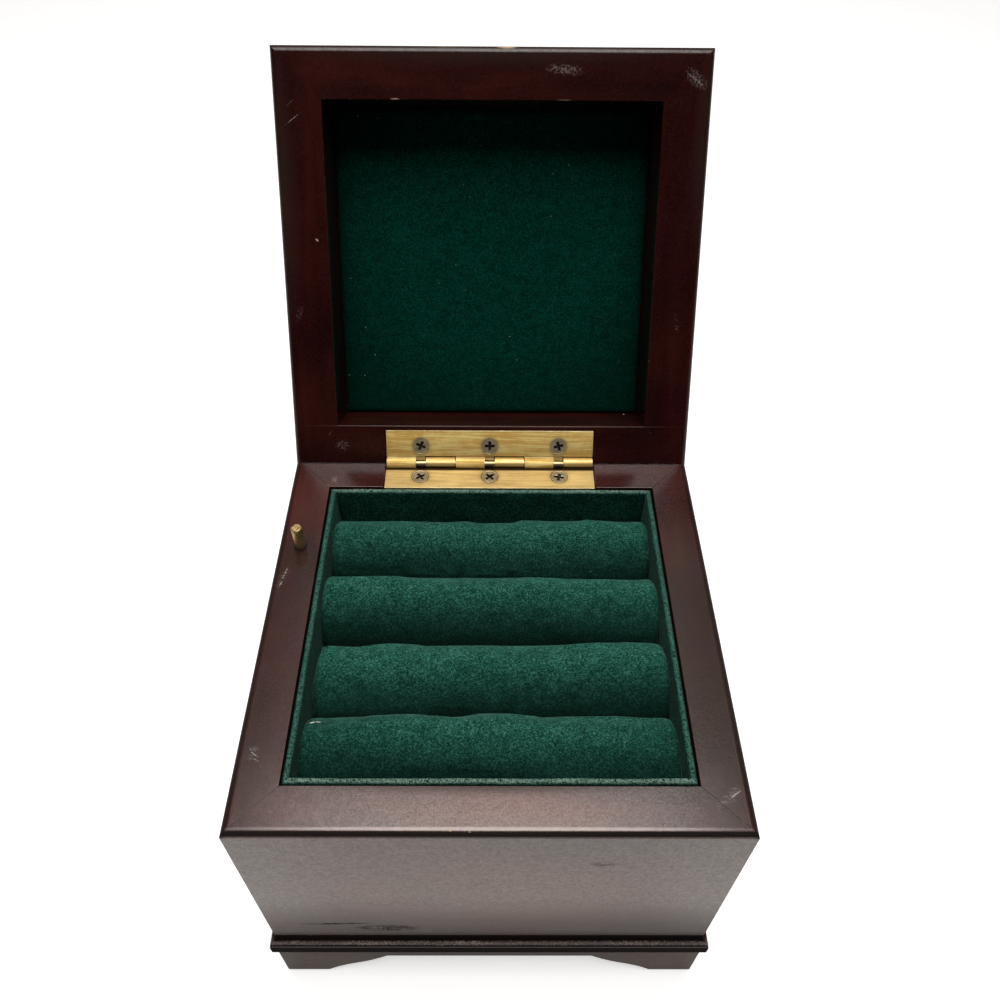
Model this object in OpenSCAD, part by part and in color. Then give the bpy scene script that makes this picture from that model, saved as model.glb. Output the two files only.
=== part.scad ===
// Musical ring box: a mitred wooden box on a bracket-foot plinth, with a lift-up lid on a brass
// butt hinge, a tray of padded ring rolls and, under the tray, a wind-up movement that a plunger
// in the rim stops when the lid is shut. The lid is drawn open, leaning on its stop.
// Millimetres. X runs to the right, Y to the back, Z up; the origin is on the floor, under the
// middle of the box.

/* [Box] */
// Width of the box across its front
box_w = 133; // [124:1:150]
// Depth of the box, front to back
box_d = 130; // [124:1:150]
// Height of the plain boards, from the moulded frame to the rim
board_h = 78; // [76:1:100]
// Thickness of the boards, which is the width of the rim
board_t = 12.8; // [12:0.2:14]
// Rounding of the outer edges of the rim and of the lid
edge_r = 2; // [1:0.25:3]

/* [Plinth] */
// Height of the moulded frame under the boards
frame_h = 11; // [10:0.5:14]
// How far the moulded frame stands out from the boards
frame_out = 2.2; // [1.8:0.1:4]
// Width of the moulded frame's ledge inside the boards
ledge_w = 3; // [2:0.5:5]
// Height of the aprons, from the floor to the moulded frame
apron_h = 24.5; // [23:0.5:32]
// How far the aprons stand out from the boards
apron_out = 1; // [0:0.1:1.5]
// Thickness of the aprons
apron_t = 10; // [8:0.5:11]
// Height of the strip that an apron keeps above its cut-out
strip_h = 7; // [6:0.5:9]
// Length of the flat sole of a foot
sole_l = 12; // [10:0.5:16]
// Length of the ogee from a sole to the strip
ogee_l = 22.5; // [16:0.5:24]
// Side of the glue blocks in the apron corners
block_w = 8; // [6:1:10]
// Thickness of the bottom panel
bottom_t = 4; // [3:0.5:5]

/* [Lid] */
// Height of the lid
lid_h = 27; // [24:1:36]
// Width of the lid's frame, seen from below
lid_frame_w = 14.8; // [14.4:0.2:18]
// Thickness of the panel let into the top of the lid
lid_panel_t = 4.5; // [3:0.5:6]
// Width of the rebate that the lid panel lies in
rebate_w = 6; // [4:0.5:8]
// Thickness of the felted card under the lid panel
lining_t = 1.5; // [1:0.25:2.5]
// Gap between the shut lid and the rim
lid_gap = 0.8; // [0.7:0.1:1.2]
// Angle that the lid opens to
open_angle = 120; // [100:1:130]

/* [Hinge] */
// Length of the hinge
hinge_l = 70; // [60:1:80]
// Offset of the hinge from the middle of the box
hinge_x = -0.5; // [-3:0.5:3]
// Width of a leaf, from the pin's axis
leaf_w = 11.2; // [10.8:0.1:11.3]
// Thickness of a leaf
leaf_t = 1; // [0.8:0.1:1.2]
// Outer radius of the knuckles
knuckle_r = 2.05; // [1.8:0.05:2.3]
// Length of a knuckle
knuckle_l = 9.8; // [8:0.2:10]
// Radius of the hinge pin
hinge_pin_r = 0.65; // [0.5:0.05:0.9]
// Distance of the pin's axis from the back of the box
axis_in = 2; // [1.9:0.1:2.2]
// Distance of the hinge screws from the pin's axis
screw_back = 5.9; // [5.7:0.1:7]
// Radius of a hinge screw's head
head_r = 2.6; // [2:0.1:2.8]
// Radius of a hinge screw's shank
shank_r = 1.2; // [1:0.1:1.4]
// Length of a hinge screw
screw_l = 9; // [7:0.5:12]

/* [Tray] */
// Gap between the tray and the boards
tray_gap = 0.6; // [0.5:0.1:1]
// Thickness of the tray's wrapped walls and floor
tray_t = 1.8; // [1.4:0.1:2.2]
// Depth of the roll crests below the rim
roll_drop = 3.5; // [2.5:0.5:6]
// Spare room left behind the rearmost roll
roll_slack = 1.6; // [0.8:0.1:2.4]
// How far each roll is squeezed flat against its neighbours
roll_squeeze = 0.15; // [0.05:0.05:0.3]
// Thickness of the suede round a roll
suede_t = 0.8; // [0.6:0.1:1.2]
// Side of the square rests that carry the tray
rest_w = 8; // [6:0.5:10]

/* [Plunger] */
// Radius of the plunger
plunger_r = 1.7; // [1.5:0.1:1.9]
// Height of the raised plunger above the rim
plunger_up = 9; // [6:0.5:10]
// Distance of the plunger from the left side of the box
plunger_in = 7; // [6.8:0.1:7.4]
// Distance of the plunger from the back of the box
plunger_back = 38.6; // [34:0.2:44]
// Radius of the collar on the plunger
collar_r = 3.2; // [2.8:0.1:3.4]
// Height of the collar
collar_h = 3; // [2:0.5:4]
// Length of the fitted return spring
spring_l = 27; // [24:1:29]
// Wire radius of the return spring
wire_r = 0.25; // [0.2:0.05:0.35]

/* [Movement] */
// Depth of the bedplate
plate_d = 42; // [42:1:48]
// Thickness of the bedplate
plate_t = 3; // [2.5:0.5:4]
// Radius of the spring barrel
barrel_r = 11.5; // [11.2:0.1:12]
// Height of the spring barrel
barrel_h = 8; // [7:0.5:10]
// Length of the pinned cylinder
cylinder_l = 22; // [20:1:24]
// Radius of the pinned cylinder
cylinder_r = 6; // [5:0.1:6.2]
// Thickness of the comb
comb_t = 1; // [0.8:0.1:1.2]
// Number of comb teeth
comb_n = 18; // [12:1:20]
// Radius of the governor's fan
fan_r = 5.5; // [4.5:0.5:6]
// Radius of the winding shaft
winder_r = 1.5; // [1.25:0.05:1.6]
// Span of the winding key
key_w = 24; // [20:1:28]
// Height of the key's wings above the floor
key_z = 4.5; // [4:0.5:6]

/* [Clearances] */
// Play around pieces that are fixed to each other
seat = 0.05; // [0.02:0.01:0.08]
// Radial play of pins and shafts
running = 0.05; // [0.03:0.01:0.09]
// Room between pieces that pass each other
pass = 0.3; // [0.3:0.05:0.4]

/* [Hidden] */
$fn = 64;

// Colours
wood = "#4b2019";
ply = "#b08d5e";
suede = "#12483a";
foam = "#d8cfa8";
felt = "#0b3328";
brass = "#c2a35c";
old_brass = "#7d6a45";
steel = "#9a9da1";
zinc = "#8b8d90";

// How far a cutting solid reaches past the face that it cuts
over = 1;

// Sides of a mitred frame, as quarter turns from the front
FRONT = 0;
RIGHT = 1;
BACK = 2;
LEFT = 3;

// Heights
board_z = apron_h + frame_h;
rim_z = board_z + board_h;
lid_z = rim_z + lid_gap;
axis_z = rim_z + lid_gap / 2;
bottom_z = apron_h - bottom_t;

// Plan places
inner_w = box_w - 2 * board_t;
inner_d = box_d - 2 * board_t;
axis_y = box_d / 2 - axis_in;
plunger_x = plunger_in - box_w / 2;
plunger_y = box_d / 2 - plunger_back;

// Tray and rolls: the rolls share the tray's depth, and the tray is as deep as a roll needs
tray_w = inner_w - 2 * tray_gap;
tray_d = inner_d - 2 * tray_gap;
tray_in_w = tray_w - 2 * tray_t;
tray_in_d = tray_d - 2 * tray_t;
roll_n = 4;
roll_pitch = (tray_in_d - roll_slack) / roll_n;
roll_r = roll_pitch / 2 + roll_squeeze;
roll_end_gap = 0.1;
roll_l = tray_in_w - 2 * roll_end_gap;
roll_z = rim_z - roll_drop - roll_r;
tray_z = roll_z - roll_pitch / 2 - tray_t;
tray_h = rim_z - tray_z;

// Plunger: its collar rises to the ceiling of a pocket cut in the left board below the tray
plunger_travel = plunger_up - lid_gap + pass;
pocket_room = 1.3;
pocket_w = 2 * (collar_r + pocket_room);
pocket_roof = 4;
pocket_top = tray_z - pocket_roof;
collar_z = pocket_top - pass - collar_h;
arm_t = 1;
arm_w = 4;
arm_z = collar_z - arm_t;
pocket_z = arm_z - seat - spring_l;
spring_play = 0.4;
spring_r = plunger_r + 2 * wire_r + spring_play;
rod_tail = 3;
rod_z = arm_z - plunger_travel - rod_tail;

// Hinge: three repeats of a lid knuckle, a bare length of pin at the screws and a base knuckle
module_n = 3;
module_l = hinge_l / module_n;
knuckle_w = min(knuckle_l, module_l / 2 - pass);
leaf_end_gap = 0.15;
leaf_reach = min(leaf_w, board_t - axis_in + tray_gap - leaf_end_gap);
screw_x = [for (i = [0 : module_n - 1]) hinge_x + (i - (module_n - 1) / 2) * module_l];
mortise_play = 0.45;
stop_gap = 0.3;
head_h = 1.4;
screw_point = 0.3;
screw_tip = 2;
// How far each screw's cross is turned
box_screw_turns = [35, 42, -12];
lid_screw_turns = [-22, 0, 15];

// Movement, in its own frame: X along the cylinder, origin on the bottom panel
cylinder_y = 2;
post_t = 1.7;
post_w = 5;
crown_n = 36;
pinion_n = 12;
crown_rise = 1.7;
crown_l = 1.1;
crown_tooth_w = 0.5;
crown_inset = 1.25;
crown_r = barrel_r - crown_inset;
pinion_r = crown_r * pinion_n / crown_n;
pinion_w = 0.9;
barrel_z = plate_t + pass;
barrel_top = barrel_z + barrel_h;
axle_z = barrel_top + crown_rise / 2 + pinion_r;
axle_r = 1;
right_post_x = 1;
barrel_room = 3;
barrel_x = crown_r + post_t + barrel_room;

// Governor train: the cylinder's wheel drives a pinion, and a worm shaft stands beside its disc
wheel_n = 32;
leaf_n = 8;
gear_module = 0.4;
gear_tooth_w = 0.42;
train_y = cylinder_y + gear_module * (wheel_n + leaf_n) / 2;
train_r = 0.7;
pin_h = 0.4;
wheel_room = 1.5;
wheel_x = -cylinder_l - wheel_room;
wheel_play = 0.8;
left_post_x = wheel_x - wheel_play - post_t;
inner_post_room = 2.6;
inner_post_x = wheel_x + inner_post_room;
worm_wheel_r = 5;
worm_wheel_t = 1.2;
worm_r = 1.2;
worm_gap = 0.4;
fan_room = 2;
fan_x = left_post_x - fan_room;
fan_y = train_y + worm_wheel_r + worm_r + worm_gap;
fan_h = 3;
fan_rise = 2.2;
fan_z = axle_z + worm_wheel_r + fan_rise;

// Bedplate, comb and their screws
plate_margin = 1.5;
fan_margin = 5;
plate_x = fan_x - fan_margin;
plate_w = barrel_x + barrel_r + plate_margin - plate_x;
move_x = -2;
move_y = plunger_y - fan_y;
comb_y = cylinder_y - cylinder_r - pin_h - pass;
comb_l = 14.3;
comb_back = 6;
comb_screw_r = 1;
comb_screw_l = 4;
plate_screw_r = 1.25;

// Winding key: its wings, then a hub that is screwed onto the shaft
key_wing_h = 9;
key_wing_t = 1.8;
key_hub_rise = 4;
key_bore_rise = 6;
key_hub_from = key_z + key_hub_rise;
key_bore_from = key_z + key_bore_rise;
key_hub_gap = 1;

// A point list along an elliptical arc, from angle a0 to a1
function arc(x, y, rx, ry, a0, a1, n = 8) =
  [for (i = [0 : n]) let (a = a0 + (a1 - a0) * i / n) [x + rx * cos(a), y + ry * sin(a)]];

// Height of the ogee, as a share, at a share t of its length
function ogee(t) = t + 0.05 * sin(360 * t) + 0.03 * sin(180 * t);

// ---- Frames of four mitred pieces ----

// One side of a frame of outer size w by d; the child is its section, outer face at x = 0
module frame_side(side, w, d, section_w) {
  long = side % 2 == 0 ? w : d;
  reach = side % 2 == 0 ? d / 2 : w / 2;
  rotate([0, 0, 90 * side]) translate([0, -reach, 0])
    intersection() {
      rotate([90, 0, 90]) linear_extrude(long, center = true) children();
      linear_extrude(2 * (rim_z + lid_h))
        polygon([[-long / 2, 0], [long / 2, 0], [long / 2 - section_w, section_w],
                 [section_w - long / 2, section_w]]);
    }
}

// A corner of radius r to take off a section; it lies in the first quadrant
module corner(r) {
  difference() {
    square(r);
    translate([r, r]) circle(r);
  }
}

// ---- Box ----

module board(side) {
  frame_side(side, box_w, box_d, board_t)
    difference() {
      translate([0, board_z]) square([board_t, board_h]);
      if (side != BACK) translate([0, rim_z]) mirror([0, 1]) corner(edge_r);
    }
}

// Everything behind the stop plane: the lid and the box are bevelled alike, and the bevels meet
// when the lid is open. up is 1 for the box and -1 for the lid, drawn shut
module stop_bevel(up) {
  translate([0, axis_y, axis_z]) rotate([up * (90 - open_angle / 2), 0, 0])
    translate([-box_w, -stop_gap / 2, -box_d]) cube([2 * box_w, box_d, 2 * box_d]);
}

module front_board() {
  color(wood) board(FRONT);
}

module right_board() {
  color(wood) difference() {
    board(RIGHT);
    stop_bevel(1);
  }
}

module back_board() {
  color(wood) difference() {
    board(BACK);
    stop_bevel(1);
    hinge_housing(1);
  }
}

module left_board() {
  color(wood) difference() {
    board(LEFT);
    stop_bevel(1);
    at_plunger(pocket_top - over)
      cylinder(h = rim_z - pocket_top + 2 * over, r = plunger_r + running);
    translate([plunger_x - pocket_w / 2, plunger_y - pocket_w / 2, pocket_z])
      cube([pocket_w / 2 + board_t, pocket_w, pocket_top - pocket_z]);
  }
}

// ---- Plinth ----

// Section of the moulded frame: a cove under the boards, a bead, a fascia and an eased foot
module moulding_section() {
  fascia = 0.42 * frame_h;
  cove_x = 0.55 * frame_out;
  bead = 0.26 * frame_h;
  toe = frame_out - apron_out;
  section_w = frame_out + board_t + ledge_w;
  translate([0, apron_h]) polygon(concat(
    arc(toe, toe, toe, toe, 270, 180, 5),
    arc(cove_x, fascia, cove_x, bead, 180, 90, 5),
    arc(cove_x, frame_h, frame_out - cove_x, frame_h - fascia - bead, 270, 360),
    [[section_w, frame_h], [section_w, 0]]));
}

module moulding(side) {
  color(wood) difference() {
    frame_side(side, box_w + 2 * frame_out, box_d + 2 * frame_out, frame_out + board_t + ledge_w)
      moulding_section();
    at_bottom_screws() rotate([180, 0, 0]) wood_screw(bottom_screw_l, seat);
  }
}

module moulding_front() {
  moulding(FRONT);
}

module moulding_right() {
  moulding(RIGHT);
}

module moulding_back() {
  moulding(BACK);
}

module moulding_left() {
  moulding(LEFT);
}

// An apron: a mitred board with an ogee-ended cut-out that leaves a foot at each end
module apron(side) {
  w = box_w + 2 * apron_out;
  d = box_d + 2 * apron_out;
  half = (side % 2 == 0 ? w : d) / 2;
  reach = side % 2 == 0 ? d / 2 : w / 2;
  cut_h = apron_h - strip_h;
  ease = 2.4;
  steps = 20;
  right = [for (i = [0 : steps]) [half - sole_l - ogee_l * i / steps, cut_h * ogee(i / steps)]];
  left = [for (i = [steps : -1 : 0]) [-right[i][0], right[i][1]]];
  color(wood) difference() {
    frame_side(side, w, d, apron_t)
      difference() {
        square([apron_t, apron_h]);
        corner(ease);
      }
    rotate([0, 0, 90 * side]) translate([0, -reach + apron_t + over, 0]) rotate([90, 0, 0])
      linear_extrude(apron_t + 2 * over)
        polygon(concat([[half - sole_l, -over]], right, left, [[sole_l - half, -over]]));
  }
}

module apron_front() {
  apron(FRONT);
}

module apron_right() {
  apron(RIGHT);
}

module apron_back() {
  apron(BACK);
}

module apron_left() {
  apron(LEFT);
}

// Places of the four corners of a w by d plan
module at_corners(w, d) {
  for (x = [-1, 1], y = [-1, 1]) translate([x * w / 2, y * d / 2, 0]) children();
}

module corner_blocks() {
  floor_gap = 7;
  inset = 2 * (apron_t - apron_out) + block_w;
  color(ply) at_corners(box_w - inset, box_d - inset)
    translate([-block_w / 2, -block_w / 2, floor_gap])
      cube([block_w, block_w, bottom_z - floor_gap]);
}

// The bottom panel closes the box from below, inside the aprons
bottom_w = box_w - 2 * (apron_t - apron_out) - 2 * seat;
bottom_d = box_d - 2 * (apron_t - apron_out) - 2 * seat;
bottom_screw_l = 10;

module at_bottom_screws() {
  edge = (apron_t - apron_out + board_t + ledge_w) / 2;
  for (s = [-1, 1]) {
    translate([s * (box_w / 2 - edge), 0, bottom_z]) children();
    translate([0, s * (box_d / 2 - edge), bottom_z]) children();
  }
}

module bottom_panel() {
  color(ply) difference() {
    translate([-bottom_w / 2, -bottom_d / 2, bottom_z]) cube([bottom_w, bottom_d, bottom_t]);
    at_bottom_screws() rotate([180, 0, 0]) wood_screw(bottom_screw_l, seat);
    on_movement() {
      at_plate_screws() translate([0, 0, -bottom_t - over])
        cylinder(h = bottom_t + 2 * over, r = plate_screw_r + seat);
      at_barrel(-bottom_t - over) cylinder(h = bottom_t + 2 * over, r = 2 * winder_r);
    }
  }
}

module bottom_screws() {
  color(old_brass) at_bottom_screws() rotate([180, 0, 0]) wood_screw(bottom_screw_l);
}

// ---- Tray ----

module tray_rests() {
  color(ply) for (s = [-1, 1])
    translate([0, s * (inner_d - rest_w) / 2, tray_z - rest_w / 2])
      cube([inner_w - 2 * rest_w, rest_w, rest_w], center = true);
}

// A wall of the tray, t thick and rounded along its top, from x = 0 and z = 0
module tray_wall(long) {
  rotate([90, 0, 90]) linear_extrude(long, center = true) {
    square([tray_t, tray_h - tray_t / 2]);
    translate([tray_t / 2, tray_h - tray_t / 2]) circle(tray_t / 2);
  }
}

module tray_front() {
  color(suede) translate([0, -tray_d / 2, tray_z]) tray_wall(tray_w);
}

module tray_back() {
  color(suede) mirror([0, 1, 0]) translate([0, -tray_d / 2, tray_z]) tray_wall(tray_w);
}

module tray_right() {
  color(suede) rotate([0, 0, 90]) translate([0, -tray_w / 2, tray_z]) tray_wall(tray_in_d);
}

module tray_left() {
  color(suede) rotate([0, 0, -90]) translate([0, -tray_w / 2, tray_z]) tray_wall(tray_in_d);
}

module tray_floor() {
  color(suede) translate([-tray_in_w / 2, -tray_in_d / 2, tray_z])
    cube([tray_in_w, tray_in_d, tray_t]);
}

// Roll i lies along X; roll 1 is at the front
module at_roll(i) {
  translate([-roll_l / 2, (i - 0.5) * roll_pitch - tray_in_d / 2, roll_z]) rotate([0, 90, 0])
    children();
}

module roll_core(i) {
  tuck = 0.8;
  color(foam) at_roll(i) translate([0, 0, tuck])
    cylinder(h = roll_l - 2 * tuck, r = roll_r - suede_t - seat);
}

// The cover is round on top and pressed flat against its neighbours and the tray's floor
module roll_cover(i) {
  color(suede) at_roll(i) linear_extrude(roll_l) difference() {
    intersection() {
      circle(roll_r);
      translate([-roll_pitch, -roll_pitch / 2]) square([1.5 * roll_pitch, roll_pitch]);
    }
    circle(roll_r - suede_t);
  }
}

// ---- Hinge ----

// A countersunk screw whose head is flush with z = 0 and whose shank points down; play widens
// it into the hole that takes it, which has no cross recess, and turn is the cross's own
module wood_screw(long, play = 0, turn = 0) {
  difference() {
    union() {
      translate([0, 0, -head_h]) cylinder(h = head_h, r1 = shank_r + play, r2 = head_r + play);
      translate([0, 0, screw_tip - long]) cylinder(h = long - screw_tip, r = shank_r + play);
      translate([0, 0, -long - play])
        cylinder(h = screw_tip + play, r1 = screw_point + play, r2 = shank_r + play);
      if (play > 0) cylinder(h = over, r = head_r + play);
    }
    if (play == 0) rotate([0, 0, turn]) cross_recess();
  }
}

module cross_recess() {
  slot_w = 0.38 * head_r;
  slot_l = 1.3 * head_r;
  deep = 0.8 * head_h;
  for (a = [0, 90]) rotate([0, 0, a])
    translate([-slot_l / 2, -slot_w / 2, -deep]) cube([slot_l, slot_w, deep + over]);
}

// The screws of one leaf, or with play their holes: up is 1 in the box and -1 in the lid
module leaf_screws(up, play = 0) {
  face_z = up > 0 ? rim_z : lid_z;
  turns = up > 0 ? box_screw_turns : lid_screw_turns;
  for (i = [0 : module_n - 1]) translate([screw_x[i], axis_y - screw_back, face_z])
    rotate([up > 0 ? 0 : 180, 0, 0]) wood_screw(screw_l, play, turns[i]);
}

// The cut for the hinge: mortise, trough for the knuckles and screw holes
module hinge_housing(up) {
  long = hinge_l + 2 * mortise_play;
  deep_z = up > 0 ? rim_z - leaf_t : lid_z - over;
  translate([hinge_x - long / 2, axis_y - leaf_reach - seat, deep_z])
    cube([long, leaf_reach + seat, leaf_t + over]);
  translate([hinge_x - long / 2, axis_y, axis_z]) rotate([0, 90, 0])
    cylinder(h = long, r = knuckle_r + pass);
  leaf_screws(up, seat);
}

// Start of a knuckle within a repeat, which leaves the pin bare between the two knuckles
knuckle_end = pass / 2;
function knuckle_start(first) = first == 0 ? knuckle_end : module_l - knuckle_end - knuckle_w;

// A tongue of the lid's leaf beside the bare pin, wide from knuckle to knuckle
module tab(wide, face_z) {
  y = axis_y - leaf_w / 2;
  translate([-over, y, face_z])
    cube([wide + over - pass, axis_y - hinge_pin_r - pass - y, leaf_t]);
}

// A leaf with its three knuckles. first is 0 if it holds the left knuckle of each repeat
module leaf(up, first) {
  face_z = up > 0 ? rim_z - leaf_t : lid_z;
  difference() {
    union() {
      translate([hinge_x - hinge_l / 2, axis_y - leaf_reach, face_z])
        cube([hinge_l, leaf_reach - knuckle_r - pass, leaf_t]);
      for (i = [0 : module_n - 1])
        translate([hinge_x - hinge_l / 2 + i * module_l + knuckle_start(first), 0, 0]) {
          translate([0, axis_y - leaf_w / 2, face_z]) cube([knuckle_w, leaf_w / 2, leaf_t]);
          translate([0, axis_y, axis_z]) rotate([0, 90, 0]) cylinder(h = knuckle_w, r = knuckle_r);
        }
      if (up < 0) for (i = [0 : module_n - 1])
        translate([hinge_x - hinge_l / 2 + i * module_l + knuckle_w + knuckle_end, 0, 0])
          tab(module_l - 2 * (knuckle_w + knuckle_end), face_z);
    }
    translate([hinge_x - hinge_l, axis_y, axis_z]) rotate([0, 90, 0])
      cylinder(h = 2 * hinge_l, r = hinge_pin_r + running);
    leaf_screws(up, seat);
  }
}

module base_leaf() {
  color(brass) leaf(1, 1);
}

module lid_leaf() {
  color(brass) open_lid() leaf(-1, 0);
}

module hinge_pin() {
  color(brass) translate([hinge_x - hinge_l / 2, axis_y, axis_z]) rotate([0, 90, 0])
    cylinder(h = hinge_l, r = hinge_pin_r);
}

module base_leaf_screws() {
  color(old_brass) leaf_screws(1);
}

module lid_leaf_screws() {
  color(old_brass) open_lid() leaf_screws(-1);
}

// ---- Lid: drawn shut, then swung open about the pin ----

module open_lid() {
  translate([0, axis_y, axis_z]) rotate([-open_angle, 0, 0]) translate([0, -axis_y, -axis_z])
    children();
}

module lid_side(side) {
  color(wood) open_lid() difference() {
    frame_side(side, box_w, box_d, lid_frame_w)
      difference() {
        translate([0, lid_z]) square([lid_frame_w, lid_h]);
        if (side != BACK) translate([0, lid_z]) corner(edge_r);
        translate([0, lid_z + lid_h]) mirror([0, 1]) corner(edge_r);
        translate([lid_frame_w - rebate_w, lid_z + lid_h - lid_panel_t])
          square([rebate_w + over, lid_panel_t + over]);
      }
    if (side != FRONT) stop_bevel(-1);
    if (side == BACK) hinge_housing(-1);
  }
}

module lid_front() {
  lid_side(FRONT);
}

module lid_right() {
  lid_side(RIGHT);
}

module lid_back() {
  lid_side(BACK);
}

module lid_left() {
  lid_side(LEFT);
}

module lid_panel() {
  inset = 2 * (lid_frame_w - rebate_w + seat);
  color(wood) open_lid() translate([0, 0, lid_z + lid_h - lid_panel_t / 2])
    cube([box_w - inset, box_d - inset, lid_panel_t], center = true);
}

module lid_lining() {
  card_gap = 0.2;
  inset = 2 * (lid_frame_w + card_gap);
  color(felt) open_lid() translate([0, 0, lid_z + lid_h - lid_panel_t - lining_t / 2])
    cube([box_w - inset, box_d - inset, lining_t], center = true);
}

// ---- Plunger ----

module at_plunger(z) {
  translate([plunger_x, plunger_y, z]) children();
}

module plunger_rod() {
  bevel = 0.35;
  top = rim_z + plunger_up;
  color(brass) union() {
    at_plunger(rod_z) cylinder(h = top - bevel - rod_z, r = plunger_r);
    at_plunger(top - bevel) cylinder(h = bevel, r1 = plunger_r, r2 = plunger_r - bevel);
  }
}

module plunger_collar() {
  color(brass) at_plunger(collar_z) difference() {
    cylinder(h = collar_h, r = collar_r);
    translate([0, 0, -over]) cylinder(h = collar_h + 2 * over, r = plunger_r + seat);
  }
}

// The arm reaches from the plunger over the governor and turns down towards its fan
module stop_arm() {
  tip_x = move_x + fan_x + 0.6 * fan_r;
  tip_z = apron_h + fan_z + fan_h + plunger_travel + pass;
  color(brass) difference() {
    union() {
      at_plunger(arm_z) cylinder(h = arm_t, r = collar_r);
      translate([plunger_x, plunger_y - arm_w / 2, arm_z])
        cube([tip_x - plunger_x, arm_w, arm_t]);
      translate([tip_x - arm_t, plunger_y - arm_w / 2, tip_z])
        cube([arm_t, arm_w, arm_z + arm_t - tip_z]);
    }
    at_plunger(arm_z - over) cylinder(h = arm_t + 2 * over, r = plunger_r + seat);
  }
}

// The return spring: a helix of round wire, swept ring by ring
module plunger_spring() {
  turns = 9;
  per_turn = 12;
  around = 6;
  rings = turns * per_turn;
  rise = spring_l - 2 * wire_r;
  points = [for (i = [0 : rings], k = [0 : around - 1])
    let (a = 360 * i / per_turn, b = 360 * k / around, r = spring_r + wire_r * cos(b))
      [r * cos(a), r * sin(a), wire_r + rise * i / rings + wire_r * sin(b)]];
  sides = [for (i = [0 : rings - 1], k = [0 : around - 1], half = [0, 1])
    let (n = (k + 1) % around, p = i * around, q = p + around)
      half == 0 ? [p + k, p + n, q + n] : [p + k, q + n, q + k]];
  ends = [[for (k = [around - 1 : -1 : 0]) k], [for (k = [0 : around - 1]) rings * around + k]];
  color(steel) at_plunger(pocket_z) polyhedron(points, concat(sides, ends));
}

// ---- Movement ----

module on_movement() {
  translate([move_x, move_y, apron_h]) children();
}

module at_barrel(z) {
  translate([barrel_x, cylinder_y, z]) children();
}

module at_plate_screws() {
  inset = 4;
  right_x = plate_x + plate_w - inset;
  back_x = plate_x + plate_w / 2 + inset;
  front_y = inset - plate_d / 2;
  for (p = [[plate_x + inset, front_y], [right_x, front_y], [back_x, -front_y]])
    translate([p[0], p[1], 0]) children();
}

// A shaft along X, from x = from to x = to
module shaft(from, to, y, z, r) {
  translate([from, y, z]) rotate([0, 90, 0]) cylinder(h = to - from, r = r);
}

// The bedplate is one casting with the bearing posts and the ridge that carries the comb
module movement_plate() {
  post_h = axle_z + post_w / 2;
  thin_t = 1;
  thin_w = 2.2;
  tapped = 5;
  color(zinc) on_movement() difference() {
    union() {
      translate([plate_x, -plate_d / 2, 0]) cube([plate_w, plate_d, plate_t]);
      translate([left_post_x, cylinder_y - post_w / 2, 0])
        cube([post_t, train_y - cylinder_y + post_w, post_h]);
      translate([right_post_x, cylinder_y - post_w / 2, 0]) cube([post_t, post_w, post_h]);
      translate([inner_post_x, train_y - thin_w / 2, 0]) cube([thin_t, thin_w, post_h]);
      translate([-cylinder_l, comb_y - comb_l, 0])
        cube([cylinder_l, comb_back, axle_z - comb_t / 2]);
    }
    shaft(left_post_x - over, barrel_x, cylinder_y, axle_z, axle_r + running);
    shaft(left_post_x - over, inner_post_x + thin_t + over, train_y, axle_z, train_r + running);
    at_barrel(-over) cylinder(h = plate_t + 2 * over, r = winder_r + running);
    at_plate_screws() translate([0, 0, -over])
      cylinder(h = plate_t + 2 * over, r = plate_screw_r + seat);
    at_comb_screws() translate([0, 0, -tapped]) cylinder(h = tapped, r = comb_screw_r + seat);
  }
}

// A pan-head screw: its head stands on z = 0 and its shank points down
module pan_screw(long, r, head) {
  head_t = 1.3;
  slot_w = 0.6;
  difference() {
    union() {
      cylinder(h = head_t, r = head);
      translate([0, 0, -long]) cylinder(h = long, r = r);
    }
    translate([-head, -slot_w / 2, head_t / 2]) cube([2 * head, slot_w, head_t]);
  }
}

module movement_screws() {
  short_by = 0.5;
  color(steel) on_movement() at_plate_screws() translate([0, 0, -bottom_t]) rotate([180, 0, 0])
    pan_screw(bottom_t + plate_t - short_by, plate_screw_r, 2 * plate_screw_r);
}

// The barrel is a drum round the mainspring, with a crown of teeth on its lid
drum_t = 0.8;

module spring_barrel() {
  root = 0.5;
  bore = winder_r + seat;
  color(brass) on_movement() at_barrel(barrel_z) union() {
    rotate_extrude() {
      translate([bore, 0]) square([barrel_r - bore, drum_t]);
      translate([bore, barrel_h - drum_t]) square([barrel_r - bore, drum_t]);
      translate([barrel_r - drum_t, 0]) square([drum_t, barrel_h]);
    }
    for (i = [0 : crown_n - 1]) rotate([0, 0, (i + 0.5) * 360 / crown_n])
      translate([crown_r - crown_l / 2, -crown_tooth_w / 2, barrel_h - root])
        cube([crown_l, crown_tooth_w, 0.8 * crown_rise + root]);
  }
}

// Point i of a coil with per_turn points a turn, at radius r
function coil_point(i, per_turn, r) = [r * cos(360 * i / per_turn), r * sin(360 * i / per_turn)];

// The mainspring: a flat strip wound from the shaft out to the drum's wall
module mainspring() {
  strip_t = 0.35;
  turns = 7;
  per_turn = 24;
  steps = turns * per_turn;
  first_r = winder_r + pass;
  last_r = barrel_r - drum_t - strip_t - seat;
  inner = [for (i = [0 : steps]) coil_point(i, per_turn, first_r + (last_r - first_r) * i / steps)];
  outer = [for (i = [steps : -1 : 0])
    coil_point(i, per_turn, first_r + (last_r - first_r) * i / steps + strip_t)];
  color(steel) on_movement() at_barrel(barrel_z + drum_t + seat)
    linear_extrude(barrel_h - 2 * (drum_t + seat)) polygon(concat(inner, outer));
}

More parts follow.
